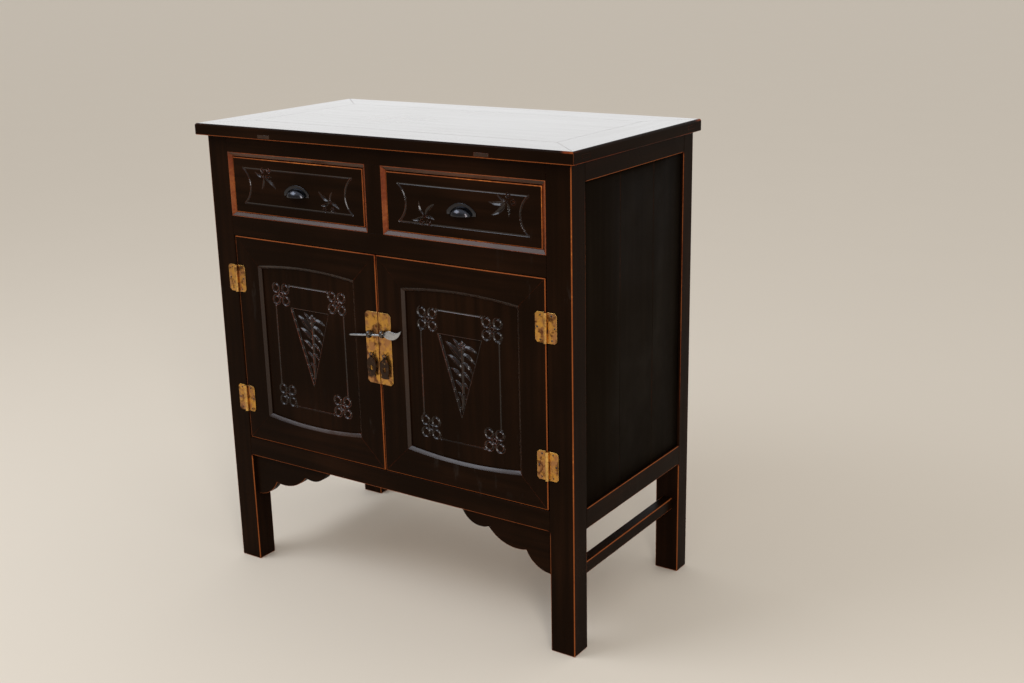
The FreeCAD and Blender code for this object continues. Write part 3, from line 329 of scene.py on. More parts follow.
def top_lacquer(name, grain):
    """Polished lacquer of the top, with rubbed streaks and fine cracks along the grain."""
    finish = Finish(name, IOR=1.5, Specular_IOR_Level=1.0, Coat_Weight=1.0, Coat_IOR=2.0,
                    Coat_Roughness=0.12)
    streak = finish.noise(GRAINS[grain], detail=5.0, shift=0.4)
    broad = finish.noise(4.0, detail=3.0, shift=2.7)
    rubbed = finish.times(streak, broad)
    ground = finish.mix(finish.ramp(rubbed, (0.16, 0.46)), colours().top, colours().top_pale)
    split = finish.noise(grain_scale(grain, 0.8), detail=6.0, shift=9.3, rough=0.7)
    crack = finish.ramp(split, (0.655, 0.70))
    cracked = finish.mix(crack, ground, colours().lacquer)
    roughness = finish.ramp(rubbed, (0.12, 0.48), (0.18, 0.30))
    relief = finish.bump(streak, strength=0.07, distance=0.0004)
    return finish.set(Base_Color=finish.worn(cracked), Roughness=roughness,
                      Normal=finish.bump(crack, strength=-0.35, distance=0.0004, under=relief))


def bare_wood(name, grain):
    """Old unfinished boards with dark growth lines."""
    finish = Finish(name, IOR=1.45, Specular_IOR_Level=0.2)
    line = finish.noise(grain_scale(grain, 1.6), detail=6.0, shift=4.2, rough=0.6)
    broad = finish.noise(grain_scale(grain, 0.22), detail=2.0, shift=7.7)
    tone = finish.plus(finish.times(line, 0.55), finish.times(broad, 0.45))
    dark = finish.ramp(tone, (0.36, 0.66), (0.05, 0.9))
    ground = finish.mix(dark, colours().wood, colours().wood_dark)
    worn = finish.mix(finish.ramp(finish.wear(), (0.2, 0.9), (0.0, 0.45)), ground, colours().wood)
    return finish.set(Base_Color=worn, Roughness=finish.ramp(line, (0.3, 0.7), (0.62, 0.82)),
                      Normal=finish.bump(line, strength=0.35, distance=0.0006))


METALS = {
    "brass": {"bright": "brass", "dull": "brass_stain", "haze": "brass_haze", "rubbed": "brass_bright",
              "rough": (0.30, 0.46), "stain": (0.50, 0.62), "most_stain": 0.85, "patch": 75.0},
    "white_metal": {"bright": "white_metal", "dull": "white_metal_dull", "rough": (0.26, 0.42),
                    "stain": (0.50, 0.74), "dent": 1.0, "patch": 260.0},
    "bronze": {"bright": "bronze_bright", "dull": "bronze", "haze": "bronze_red", "rough": (0.3, 0.5),
               "stain": (0.30, 0.46), "dent": 1.0, "patch": 210.0},
    "eye_metal": {"bright": "eye_metal", "dull": "bronze", "rough": (0.22, 0.4), "stain": (0.5, 0.8)},
    "iron": {"bright": "iron", "dull": "iron_rust", "rough": (0.13, 0.24), "stain": (0.62, 0.80)},
}


def metal(name, bright, dull, rough, stain, most_stain=1.0, dent=0.18, patch=55.0, haze=None,
          rubbed=None):
    """Hand-worked metal: haze and stains in patches, scratches, dents and rubbed edges."""
    finish = Finish(name, Metallic=1.0, IOR=1.5)
    tint = colours()
    scratch = finish.noise((520.0, 520.0, 90.0), detail=3.0, shift=5.5)
    tone = finish.mix(finish.ramp(scratch, (0.35, 0.75), (0.0, 0.3)), getattr(tint, bright),
                      getattr(tint, haze or dull))
    if haze:
        hazy = finish.ramp(finish.noise(patch, detail=3.0, shift=6.4), (0.38, 0.58), (0.0, 0.85))
        tone = finish.mix(hazy, tone, getattr(tint, haze))
    spots = finish.noise(patch, detail=5.0, shift=1.9, rough=0.65)
    colour_out = finish.mix(finish.ramp(spots, stain, (0.0, most_stain)), tone, getattr(tint, dull))
    if rubbed:
        bare = finish.ramp(finish.wear(), (0.3, 0.9), (0.0, 0.7))
        colour_out = finish.mix(bare, colour_out, getattr(tint, rubbed))
    roughness = finish.ramp(finish.noise(120.0, detail=3.0, shift=3.3), (0.25, 0.75), rough)
    dents = finish.bump(finish.noise(210.0, detail=2.0, shift=8.1), dent, distance=0.0004)
    return finish.set(Base_Color=colour_out, Roughness=roughness,
                      Normal=finish.bump(scratch, strength=0.10, distance=0.0002, under=dents))


FINISHES = {}


def finish_of(name):
    """The finish of that name, made when it is first asked for."""
    if name not in FINISHES:
        kind, _, grain = name.partition(".")
        if kind in LACQUERS:
            FINISHES[name] = lacquer(name, grain, *LACQUERS[kind])
        elif kind in METALS:
            FINISHES[name] = metal(name, **METALS[kind])
        else:
            FINISHES[name] = {"top": top_lacquer, "wood": bare_wood}[kind](name, grain)
    return FINISHES[name]


# Pieces made from the solids, with their edges eased

SHARP = math.radians(30.0)
FLAT = math.radians(0.5)
WELD = 2e-6
JOINT_REACH = 0.0004
JOINT_SHARES = (0.1, 0.5, 0.9)
HOLE_DIGITS = 6
SURFACES = {}


def surface(node):
    """The node's surface for nearness tests, and its box."""
    if node not in SURFACES:
        mesh = NODES[node].data
        points = [vertex.co for vertex in mesh.vertices]
        tree = BVHTree.FromPolygons(points, [tuple(face.vertices) for face in mesh.polygons])
        SURFACES[node] = (tree, *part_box(node))
    return SURFACES[node]


def against_neighbour(point, node, reach=JOINT_REACH):
    """Whether any other node's surface lies within reach of a point."""
    for other in NODES:
        tree, low, high = surface(other)
        outside = any(point[axis] < low[axis] - reach or point[axis] > high[axis] + reach
                      for axis in range(3))
        if other != node and not outside and tree.find_nearest(point, reach)[0] is not None:
            return True
    return False


def in_joint(edge, node):
    """Whether an edge lies against another piece along its whole length."""
    start, end = (vertex.co for vertex in edge.verts)
    return all(against_neighbour(start.lerp(end, part), node) for part in JOINT_SHARES)


def welded(node):
    """A copy of the node's mesh with its doubles merged and its flat faces whole."""
    work = bmesh.new()
    work.from_mesh(NODES[node].data)
    bmesh.ops.remove_doubles(work, verts=work.verts, dist=WELD)
    bmesh.ops.dissolve_limit(work, angle_limit=FLAT, verts=work.verts, edges=work.edges)
    return work


def part_across(work, axis, place, clear_below=False):
    """Divide a mesh by a plane across an axis, and return the edges that lie in the plane."""
    across = Vector([float(index == axis) for index in range(3)])
    parted = bmesh.ops.bisect_plane(work, geom=[*work.verts, *work.edges, *work.faces], dist=WELD,
                                    plane_co=across * place, plane_no=across, clear_inner=clear_below)
    return [item for item in parted["geom_cut"] if isinstance(item, bmesh.types.BMEdge)]


def part_at_holes(work, node):
    """Divide a member where the holes in its faces begin and end, so that each face is plain."""
    low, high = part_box(node)
    axis = max(range(3), key=lambda index: high[index] - low[index])
    bridges = [edge for edge in work.edges if edge.calc_face_angle(SHARP) < FLAT]
    for place in sorted({round(vertex.co[axis], HOLE_DIGITS) for edge in bridges for vertex in edge.verts}):
        for edge in part_across(work, axis, place):
            edge.seam = True
    if bridges:
        bmesh.ops.dissolve_limit(work, angle_limit=FLAT, verts=work.verts, edges=work.edges,
                                 delimit={"SEAM"})


def arrises(work, shortest):
    """The sharp outer edges that are longer than the shortest."""
    return [edge for edge in work.edges
            if edge.is_manifold and edge.is_convex and edge.calc_length() > shortest
            and edge.calc_face_angle(0.0) > SHARP]


# Marks of roundings, held as finish numbers that no piece has, and the wear of each
BARE, SOFT, JOINT, CORNER, DULL = range(8, 13)
WEAR_OF = {BARE: 1.25, SOFT: 0.12, JOINT: 0.26, CORNER: 0.9, DULL: 0.4}
SHELTER_REACH = 0.004
ROUND_SEGMENTS = 4
ROUND_PROFILE = 0.5


def ease(work, edges, width, mark):
    """Round edges, and mark the roundings by how worn they are."""
    if edges:
        result = bmesh.ops.bevel(work, geom=edges, offset=width, offset_type="OFFSET",
                                 segments=ROUND_SEGMENTS, profile=ROUND_PROFILE, affect="EDGES",
                                 clamp_overlap=False, material=mark)
        for face in result["faces"]:
            face.smooth = True


def spread_wear(work, sheltered_node=None):
    """Give the middle of each rounding its wear, less beside a neighbour of a sheltered node."""
    wear = work.verts.layers.float.new("wear")
    for vertex in work.verts:
        marks = [face.material_index for face in vertex.link_faces]
        if marks and all(mark in WEAR_OF for mark in marks):
            vertex[wear] = max(WEAR_OF[mark] for mark in marks)
            if sheltered_node and against_neighbour(vertex.co, sheltered_node, SHELTER_REACH):
                vertex[wear] = WEAR_OF[SOFT]
    for face in work.faces:
        if face.material_index in WEAR_OF:
            face.material_index = 0


def smooth_curves(work, keep_sharp=True):
    """Shade round surfaces smooth, and keep the edges between flat ones sharp."""
    for edge in work.edges:
        angle = edge.calc_face_angle(0.0)
        if FLAT < angle < SHARP:
            for face in edge.link_faces:
                face.smooth = True
        elif keep_sharp and angle >= SHARP:
            edge.smooth = False


def new_piece(name, work, *finishes):
    """A piece from a finished working mesh."""
    mesh = bpy.data.meshes.new(name)
    work.to_mesh(mesh)
    work.free()
    return piece_from(name, mesh, *finishes)


def piece_from(name, mesh, *finishes):
    for finish in finishes:
        mesh.materials.append(finish_of(finish))
    piece = bpy.data.objects.new(name, mesh)
    bpy.context.scene.collection.objects.link(piece)
    return piece


def settle(piece, slot, *nodes):
    """Let a piece ride on the body of the nodes that it stands for."""
    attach(piece, BODY_OF[nodes[0]])
    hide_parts(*nodes)


# Faces of a board that take its other finish

def sloping(face):
    """Whether a face is a chamfer that looks forwards."""
    return face.normal.y < 0 and sorted(abs(part) for part in face.normal)[1] > math.sin(SHARP)


def upward(face):
    return face.normal.z > math.cos(SHARP)


def lengthwise(face):
    """Whether a face runs along a piece that lies from front to back."""
    return abs(face.normal.y) < math.cos(SHARP)


# Boards

BOARD_SHORTEST = 0.003
END_MARGIN = 0.008
SPLIT_LEAST = 0.06
ALONG_LEAST = 0.999
LEVEL_DIGITS = 5


def split_near_ends(work, node):
    """Divide a member near the ends of its long edges, and a post at the head of its leg."""
    levels = [set(), set(), set()]
    for edge in arrises(work, SPLIT_LEAST):
        start, end = (vertex.co for vertex in edge.verts)
        run = end - start
        axis = max(range(3), key=lambda index: abs(run[index]))
        if abs(run[axis]) > run.length * ALONG_LEAST:
            low, high = sorted((start[axis], end[axis]))
            levels[axis] |= {round(low + END_MARGIN, LEVEL_DIGITS), round(high - END_MARGIN, LEVEL_DIGITS)}
    if node.startswith("post"):
        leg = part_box("front_lower_rail")[0].z
        levels[2] |= {leg - END_MARGIN, leg + END_MARGIN}
    for axis, places in enumerate(levels):
        for place in sorted(places):
            part_across(work, axis, place)


def on_outer_corner(edge):
    """Whether an edge is one of the upright outer corners of the top."""
    upright = (edge.verts[0].co - edge.verts[1].co).xy.length < JOINT_REACH
    return upright and all(abs(abs(vertex.co[axis]) - CAD_BOX[1][axis]) < JOINT_REACH
                           for vertex in edge.verts for axis in (0, 1))


def edge_mark(edge, node, bare):
    """The mark for the rounding of an edge; bare is that of an edge in the open."""
    if on_outer_corner(edge):
        return CORNER
    if in_joint(edge, node):
        return JOINT
    return SOFT if any(face.material_index == 1 for face in edge.link_faces) else bare


def board(node, slot, finish, arris, other=None, takes_other=sloping, soft_arris=None, bare=BARE):
    """A wooden member with eased edges, of which some faces may take another finish."""
    work = welded(node)
    smooth_curves(work, keep_sharp=False)
    for face in work.faces:
        if other and takes_other(face):
            face.material_index = 1
    kind = work.edges.layers.int.new("kind")
    for edge in arrises(work, BOARD_SHORTEST):
        edge[kind] = edge_mark(edge, node, bare)
    part_at_holes(work, node)
    split_near_ends(work, node)
    for mark, width in ((bare, arris), (SOFT, soft_arris or sizes().inner_arris),
                        (JOINT, sizes().joint_arris), (CORNER, sizes().joint_arris)):
        ease(work, [edge for edge in arrises(work, WELD) if edge[kind] == mark], width, mark)
    work.edges.layers.int.remove(work.edges.layers.int["kind"])
    fixed = BODY_OF[node] == BODY_OF["top_panel"]
    spread_wear(work, node if fixed and not other else None)
    finishes = (finish, other) if other else (finish,)
    settle(new_piece(f"{node}.finished", work, *finishes), slot, node)


# Metal fittings

SHORTEST_IN_ARRISES = 2
KNUCKLE_WEAR = 0.8
LEAF_THICK = 0.0016


def broaden_eye(work, node):
    """Make the ring that holds the latch pin broader along the pin."""
    low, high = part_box(node)
    plate_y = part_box(node.replace("eyes", "lock_plate"))[0].y
    between_z = (low.z + high.z) / 2
    middle = (low.x + high.x) / 2
    for vertex in work.verts:
        if vertex.co.y < plate_y and vertex.co.z > between_z:
            vertex.co.x = middle + (vertex.co.x - middle) * sizes().eye_breadth


def rub_knuckles(work, node):
    """Wear on the knuckles that stand in front of a hinge's leaves."""
    wear = work.verts.layers.float["wear"]
    face_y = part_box(node)[1].y - LEAF_THICK
    for vertex in work.verts:
        if vertex.co.y < face_y - sizes().metal_arris:
            vertex[wear] = KNUCKLE_WEAR


def fitting(node, slot, finish):
    """A metal fitting with eased edges and smooth round surfaces."""
    work = welded(node)
    if node.endswith("eyes"):
        broaden_eye(work, node)
    arris = sizes().metal_arris
    ease(work, arrises(work, arris * SHORTEST_IN_ARRISES), arris, BARE)
    spread_wear(work)
    if node.endswith("leaves"):
        rub_knuckles(work, node)
    smooth_curves(work)
    settle(new_piece(f"{node}.finished", work, finish), slot, node)


# Carved boards

CUT_LEAST = 0.3
LINE_WEAR = 0.16
EDGE_WEAR = 1.7
RIDGE_WEAR = 0.26
RIDGE_SHARPNESS = 0.00016
ARC_STEPS = 28
BEND_STEPS = 12
TAPER_LEAN = 0.8
BORDER_SHARES = (0.0, 0.12, 0.32, 0.6)


def cell_corners(grid):
    """The values of a grid at the four corners of each of its cells."""
    return grid[:-1, :-1], grid[1:, :-1], grid[1:, 1:], grid[:-1, 1:]


class Carving:
    """Depth of cuts below a flat face, on a grid of places across (u) and up (v) the face."""

    def __init__(self, us, vs):
        self.us = us
        self.vs = vs
        self.u, self.v = np.meshgrid(us, vs, indexing="ij")
        self.depth = np.zeros_like(self.u)
        self.relief = np.zeros_like(self.u)
        self.edge = np.zeros_like(self.u)
        self.polished = np.zeros(self.u.shape, bool)

    def stroke(self, points, halves):
        """The window round a stroke, its profile of 0 to 1 and its share of the full width."""
        points = np.asarray(points, float)
        halves = np.broadcast_to(np.asarray(halves, float), len(points))
        reach = halves.max()
        low = points.min(0) - reach
        high = points.max(0) + reach
        window = (slice(*np.searchsorted(self.us, (low[0], high[0]))),
                  slice(*np.searchsorted(self.vs, (low[1], high[1]))))
        u = self.u[window]
        v = self.v[window]
        best = np.full(u.shape, np.inf)
        width = np.ones(u.shape)
        for start, end, first, last in zip(points, points[1:], halves, halves[1:]):
            run = end - start
            along = ((u - start[0]) * run[0] + (v - start[1]) * run[1]) / max(run @ run, WELD ** 2)
            along = np.clip(along, 0.0, 1.0)
            half = first + along * (last - first)
            away = np.hypot(u - start[0] - along * run[0], v - start[1] - along * run[1])
            ratio = away / np.maximum(half, WELD)
            nearer = ratio < best
            best = np.where(nearer, ratio, best)
            width = np.where(nearer, half / reach, width)
        return window, np.clip(1.0 - best ** 2, 0.0, 1.0), width

    def cut(self, points, halves, depth):
        """A cut with two slopes, deepest along its middle and where it is widest."""
        window, profile, width = self.stroke(points, halves)
        slopes = 1.0 - np.sqrt(1.0 - profile)
        self.depth[window] = np.maximum(self.depth[window], depth * slopes * width)
        self.polished[window] |= profile > CUT_LEAST

    def line(self, start, end, half, depth):
        """A fine straight line, rubbed a little along its middle."""
        window, profile, _ = self.stroke([start, end], half)
        self.depth[window] = np.maximum(self.depth[window], depth * profile)
        self.polished[window] |= profile > 0.0
        self.edge[window] = np.maximum(self.edge[window], LINE_WEAR * profile)

    def rise(self, points, halves, height):
        """A raised stroke on sunk ground, with two slopes that meet along its middle."""
        window, profile, width = self.stroke(points, halves)
        slopes = 1.0 - np.sqrt(1.0 - profile)
        self.relief[window] = np.maximum(self.relief[window], height * slopes * width ** 0.5)
        self.polished[window] |= profile > 0.0

    def ring(self, middle, radius, half, depth):
        self.cut(arc(middle, radius, 0.0, math.tau), half, depth)

    def sink(self, corners, wall, depth):
        """Sink a convex shape, whose corners run anticlockwise, with sloping walls."""
        inside = np.full(self.u.shape, np.inf)
        for start, end in zip(corners, corners[1:] + corners[:1]):
            run = Vector(end) - Vector(start)
            run.normalize()
            inside = np.minimum(inside, (self.v - start[1]) * run.x - (self.u - start[0]) * run.y)
        self.depth = np.maximum(self.depth, depth * np.clip(inside / wall, 0.0, 1.0))
        self.polished |= (inside > 0.0) & (inside < wall)

    def round_border(self, radius):
        """Round the face over at its four edges, worn in the middle of the rounding."""
        away = np.minimum(np.minimum(self.u - self.us[0], self.us[-1] - self.u),
                          np.minimum(self.v - self.vs[0], self.vs[-1] - self.v))
        inside = np.clip(radius - away, 0.0, radius)
        self.depth += radius - np.sqrt(radius ** 2 - inside ** 2)
        share_in = inside / radius
        self.edge = np.maximum(self.edge, EDGE_WEAR * 4 * share_in * (1 - share_in))

    def finished(self):
        """The depth with its relief, and the wear of its edges and ridges."""
        depth = self.depth - np.minimum(self.relief, self.depth)
        padded = np.pad(depth, 1, mode="edge")
        around = (padded[2:, 1:-1] + padded[:-2, 1:-1] + padded[1:-1, 2:] + padded[1:-1, :-2]) / 4
        ridge = np.clip((around - depth) / RIDGE_SHARPNESS, 0.0, 1.0)
        return depth, np.maximum(self.edge, ridge * RIDGE_WEAR)

    def block(self, name, put, thick, closed):
        """A mesh with the carving on its face; put gives the place of a depth below the face."""
        depth, wear = self.finished()
        points = [put(*place) for place in zip(self.u.flat, self.v.flat, depth.flat)]
        index = np.arange(depth.size).reshape(depth.shape)
        faces = np.stack(cell_corners(index), axis=-1).reshape(-1, 4).tolist()
        cells = len(faces)
        left, right = self.us[0], self.us[-1]
        bottom, head = self.vs[0], self.vs[-1]
        back = [len(points) + corner for corner in range(4)]
        points += [put(u, v, thick)
                   for u, v in ((left, bottom), (right, bottom), (right, head), (left, head))]
        rims = (index[:, 0], index[-1, :], index[::-1, -1], index[0, ::-1])
        for corner, rim in enumerate(rims):
            faces.append([*rim.tolist()[::-1], back[corner], back[(corner + 1) % 4]])
        if closed:
            faces.append(back[::-1])
        mesh = bpy.data.meshes.new(name)
        mesh.from_pydata(points, [], faces)
        in_cut = np.zeros(len(faces), np.int32)
        in_cut[:cells] = np.any(cell_corners(self.polished), axis=0).ravel()
        mesh.polygons.foreach_set("material_index", in_cut)
        mesh.polygons.foreach_set("use_smooth", (np.arange(len(faces)) < cells) & (in_cut == 0))
        layer = mesh.attributes.new("wear", "FLOAT", "POINT")
        at_back = np.zeros(len(back))
        layer.data.foreach_set("value", np.concatenate([wear.ravel(), at_back]).astype(np.float32))
        return mesh


def arc(middle, radius, start, end):
    return [(middle[0] + radius * math.cos(turn), middle[1] + radius * math.sin(turn))
            for turn in np.linspace(start, end, ARC_STEPS)]


def bend(start, control, end):
    """Points of a curve that leaves start towards control and comes to end from it."""
    along = np.linspace(0.0, 1.0, BEND_STEPS)[:, None]
    start, control, end = (np.asarray(point, float) for point in (start, control, end))
    return (1 - along) ** 2 * start + 2 * along * (1 - along) * control + along ** 2 * end


def taper(widest, blunt):
    """Half widths of a bend that swells in its middle and thins out to blunt ends."""
    along = np.linspace(0.0, 1.0, BEND_STEPS)
    return widest * (blunt + (1 - blunt) * np.sin(math.pi * along ** TAPER_LEAN))


def spaced(low, high, step):
    return np.linspace(low, high, max(2, round((high - low) / step) + 1))


def bordered(low, high, step, radius):
    """Grid places with a few more across the rounded edges."""
    edge = [radius * part for part in BORDER_SHARES]
    inner = spaced(low + radius, high - radius, step)
    return np.concatenate([[low + part for part in edge], inner,
                           [high - part for part in reversed(edge)]])


def join_behind(mesh, node, level):
    """Weld a carved layer, which is open at its back, to what its board has behind a level."""
    work = welded(node)
    part_across(work, 1, level, clear_below=True)
    work.verts.layers.float.new("wear")
    work.from_mesh(mesh)
    bmesh.ops.remove_doubles(work, verts=work.verts, dist=WELD)
    work.to_mesh(mesh)
    work.free()


def carved_board(name, node, slot, finish, cut_finish, carving, facing, layer_depth=None):
    """A closed board whose outer face carries a carving; its cuts have a finish of their own."""
    low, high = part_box(node)
    places = {
        "front": lambda u, v, depth: (u, low.y + depth, v),
        "left": lambda u, v, depth: (low.x + depth, u, v),
        "right": lambda u, v, depth: (high.x - depth, u, v),
    }
    thick = layer_depth or ((high.y - low.y) if facing == "front" else (high.x - low.x))
    mesh = carving.block(name, places[facing], thick, closed=not layer_depth)
    if facing == "left":
        mesh.flip_normals()
    if layer_depth:
        join_behind(mesh, node, low.y + layer_depth)
    mesh.update()
    settle(piece_from(name, mesh, finish, cut_finish), slot, node)


# Drawer fronts: a cartouche and two sprigs of blossom

# Each sprig: its middle, from the middle of the front, and its tips and berries, from its own middle
SPRIGS = {
    "left": (
        ((-0.07705, 0.01905),
         ((0.0267, -0.0200), (-0.0070, -0.0227), (-0.0217, 0.0074), (0.0173, 0.0003)),
         ((-0.0023, 0.0114), (0.0124, 0.0118))),
        ((0.07645, -0.01375),
         ((-0.0253, 0.0167), (0.0049, 0.0176), (-0.0213, -0.0071), (0.0204, -0.0104)),
         ((-0.0122, -0.0139), (0.0059, -0.0126))),
    ),
    "right": (
        ((-0.07705, -0.01875),
         ((-0.0100, 0.0235), (0.0217, 0.0216), (0.0215, -0.0040), (-0.0253, -0.0085)),
         ((0.0097, -0.0103), (-0.0043, -0.0110))),
        ((0.08955, 0.02015),
         ((-0.0350, -0.0037), (-0.0304, -0.0243), (0.0028, -0.0244), (-0.0189, 0.0093)),
         ((0.0117, -0.0004), (0.0017, 0.0096))),
    ),
}
LEAF_ROOT_SHARE = 0.14
LEAF_BEND_SHARE = 0.16
LEAF_HALF_SHARE = 0.105
LEAF_BLUNT = 0.1


def cartouche(carving, low, high):
    """Straight long lines and ends that curve inwards."""
    size = sizes()
    left, right = low.x + size.cartouche_side, high.x - size.cartouche_side
    bottom, head = low.z + size.cartouche_end, high.z - size.cartouche_end
    middle = (bottom + head) / 2
    half = (head - bottom) / 2
    radius = (half ** 2 + size.cartouche_bow ** 2) / (2 * size.cartouche_bow)
    sweep = math.asin(half / radius)
    for level in (bottom, head):
        carving.line((left, level), (right, level), size.line_half, size.line_depth)
    for centre, turn in ((left + size.cartouche_bow - radius, 0.0),
                         (right - size.cartouche_bow + radius, math.pi)):
        carving.cut(arc((centre, middle), radius, turn - sweep, turn + sweep), size.arc_half,
                    size.arc_depth)


def sprig(carving, middle, tips, berries):
    """Pointed leaves that are hollowed out round a middle, with a few small berries."""
    size = sizes()
    for tip in tips:
        run = Vector(tip)
        across = Vector((-run.y, run.x))
        course = bend(middle + run * LEAF_ROOT_SHARE, middle + run / 2 + across * LEAF_BEND_SHARE,
                      middle + run)
        carving.cut(course, taper(run.length * LEAF_HALF_SHARE, LEAF_BLUNT), size.sprig_depth)
    for berry in berries:
        carving.ring(middle + Vector(berry), size.berry_radius, size.berry_half, size.sprig_depth)
    carving.ring(middle, size.berry_half, size.berry_half, size.sprig_depth)


def drawer_front(hand):
    node = f"{hand}_drawer_front"
    size = sizes()
    low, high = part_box(node)
    carving = Carving(bordered(low.x, high.x, size.drawer_step, size.arris),
                      bordered(low.z, high.z, size.drawer_step, size.arris))
    cartouche(carving, low, high)
    front = Vector(((low.x + high.x) / 2, (low.z + high.z) / 2))
    for middle, tips, berries in SPRIGS[hand]:
        sprig(carving, front + Vector(middle), tips, berries)
    carving.round_border(size.arris)
    carved_board(f"{node}.carved", node, "lacquer", "lacquer.along_x", "cut.along_x", carving,
                 "front", size.carved_layer)


# Door panels: a border with ring knots, and a leafy sprig in a sunk triangle

# Each blade: where it leaves the stem, how far out it reaches and where it ends
BLADE_SHARES = (
    (0.22, -0.56, 0.31), (0.30, 0.70, 0.24), (0.36, -0.72, 0.45), (0.44, 0.80, 0.36),
    (0.49, -0.78, 0.60), (0.57, 0.84, 0.47), (0.62, -0.80, 0.76), (0.69, 0.86, 0.58),
    (0.72, -0.74, 0.92), (0.80, 0.88, 0.70), (0.88, 0.84, 0.84), (0.80, -0.36, 0.97),
)
BLADE_HALF_SHARE = 0.125
BLADE_LIFT_SHARE = 0.05
BLADE_BLUNT = 0.12
STEM_SHARES = ((0.0, 0.10), (0.16, 0.45), (0.06, 0.88))
STEM_OUT_SHARE = 0.06
STEM_HALF_SHARE = 0.028
STEM_HEIGHT_SHARE = 0.8
BUD_SHARE = 0.90
PETALS = 5
PETAL_REACH_SHARE = 0.06
PETAL_ROOT_SHARE = 0.4
PETAL_HALF_SHARE = 0.034
CORE_HALF_SHARE = 0.8
PANEL_EDGE_SHARE = 1 / 32


def ring_knot(carving, middle):
    """Four rings round a smaller one."""
    size = sizes()
    for right in (-1, 1):
        for up in (-1, 1):
            carving.ring(Vector(middle) + size.knot_spread * Vector((right, up)),
                         size.knot_radius, size.knot_half, size.knot_depth)
    carving.ring(middle, size.knot_core, size.knot_half * CORE_HALF_SHARE, size.knot_depth)


def border(carving, middle):
    """Four lines that end in buds beside the ring knots at the corners."""
    size = sizes()
    knot_reach = size.knot_spread + size.knot_radius + size.knot_half
    stop = size.knot_along - knot_reach
    end = size.knot_across - knot_reach
    for sign in (-1, 1):
        side = middle.x + sign * size.border_width / 2
        carving.line((side, middle.y - stop), (side, middle.y + stop), size.line_half,
                     size.line_depth)
        level = middle.y + sign * size.border_height / 2
        carving.line((middle.x - end, level), (middle.x + end, level), size.line_half,
                     size.line_depth)
        for up in (-1, 1):
            corner = Vector((middle.x + sign * size.knot_across, middle.y + up * size.knot_along))
            ring_knot(carving, corner)
            carving.cut([(side, middle.y + up * stop)] * 2, size.bud_radius, size.knot_depth)
            carving.cut([(middle.x + up * end, level)] * 2, size.bud_radius, size.knot_depth)


def leafy_sprig(carving, tip, head, width):
    """A stem from the tip of the triangle, with blades on both sides and a bud at its head."""
    size = sizes()
    tall = head - tip.y

    def at(across, up):
        return Vector((tip.x + across * width / 2 * up, tip.y + tall * up))

    carving.rise(bend(*(at(*place) for place in STEM_SHARES)), width * STEM_HALF_SHARE,
                 size.leaf_height * STEM_HEIGHT_SHARE)
    for root, reach, end in BLADE_SHARES:
        start = at(STEM_OUT_SHARE, root)
        stop = at(reach, end)
        middle = (start + stop) / 2 + Vector((0.0, tall * BLADE_LIFT_SHARE))
        carving.rise(bend(start, middle, stop),
                     taper((stop - start).length * BLADE_HALF_SHARE, BLADE_BLUNT), size.leaf_height)
    bud = at(STEM_OUT_SHARE, BUD_SHARE)
    for petal in range(PETALS):
        turn = math.tau * petal / PETALS + math.pi / 2
        out = Vector((math.cos(turn), math.sin(turn))) * width * PETAL_REACH_SHARE
        carving.rise([bud + out * PETAL_ROOT_SHARE, bud + out], width * PETAL_HALF_SHARE,
                     size.leaf_height)


def door_panel(hand):
    node = f"{hand}_door_panel"
    size = sizes()
    low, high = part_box(node)
    frame_low, frame_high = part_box(f"{hand}_door_top_rail")
    stile_low, stile_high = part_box(f"{hand}_door_hinge_stile")
    hidden = (stile_high.x - stile_low.x) - JOINT_REACH
    edge = size.border_width * PANEL_EDGE_SHARE
    across = spaced(frame_low.x + hidden, frame_high.x - hidden, size.panel_step)
    upwards = spaced(low.z + edge, high.z - edge, size.panel_step)
    carving = Carving(np.concatenate([[low.x], across, [high.x]]),
                      np.concatenate([[low.z], upwards, [high.z]]))
    shift = size.right_shift if hand == "right" else 0.0
    middle = Vector(((low.x + high.x) / 2 - shift, (low.z + high.z) / 2 - size.carving_drop))
    border(carving, middle)
    tip = Vector((middle.x, middle.y - size.triangle_fall))
    head = middle.y + size.triangle_rise
    half = size.triangle_width / 2
    carving.sink([tuple(tip), (middle.x + half, head), (middle.x - half, head)],
                 size.triangle_wall, size.triangle_depth)
    leafy_sprig(carving, tip, head - size.triangle_wall, size.triangle_width)
    carved_board(f"{node}.carved", node, "lacquer", "lacquer.along_z", "cut.along_z", carving,
                 "front")


# Side panels: upright boards with fine seams

SEAM_SHARES = (0.36, 0.69)
SEAM_GRID_SHARES = (-1.5, -1.0, -0.5, 0.0, 0.5, 1.0, 1.5)


def side_panel(hand):
    node = f"side_panel_{hand}"
    size = sizes()
    low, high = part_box(node)
    seams = [low.y + (high.y - low.y) * part for part in SEAM_SHARES]
    across = sorted([low.y, high.y] + [seam + size.seam_half * part for seam in seams
                                       for part in SEAM_GRID_SHARES])
    carving = Carving(np.array(across), np.array([low.z, high.z]))
    for seam in seams:
        carving.line((seam, low.z), (seam, high.z), size.seam_half, size.seam_depth)
    carved_board(f"{node}.boards", node, "panel_lacquer", "panel.along_z", "panel.along_z", carving,
                 hand)


# Strips round the drawers

# Across a strip from its outer lip: share of its width, share of its bevel, and wear
SURROUND_SHARES = (
    (0.00, 0.14, 0.3), (0.05, 0.03, 0.7), (0.12, 0.00, 0.7), (0.20, 0.06, 0.1), (0.28, 0.14, 0.0),
    (0.82, 0.86, 0.0), (0.91, 0.95, 0.15), (0.97, 1.00, 0.4), (1.00, 1.10, 0.2),
)
# Least wear colour of the strips below, right of, above and left of a drawer: painted light that makes the
# upright strips lighter and warmer than those above and below, most the left one, which faces the side
# light at the right
STRIP_PAINTED_LIGHT = (0.0, 0.3, 0.0, 0.6)


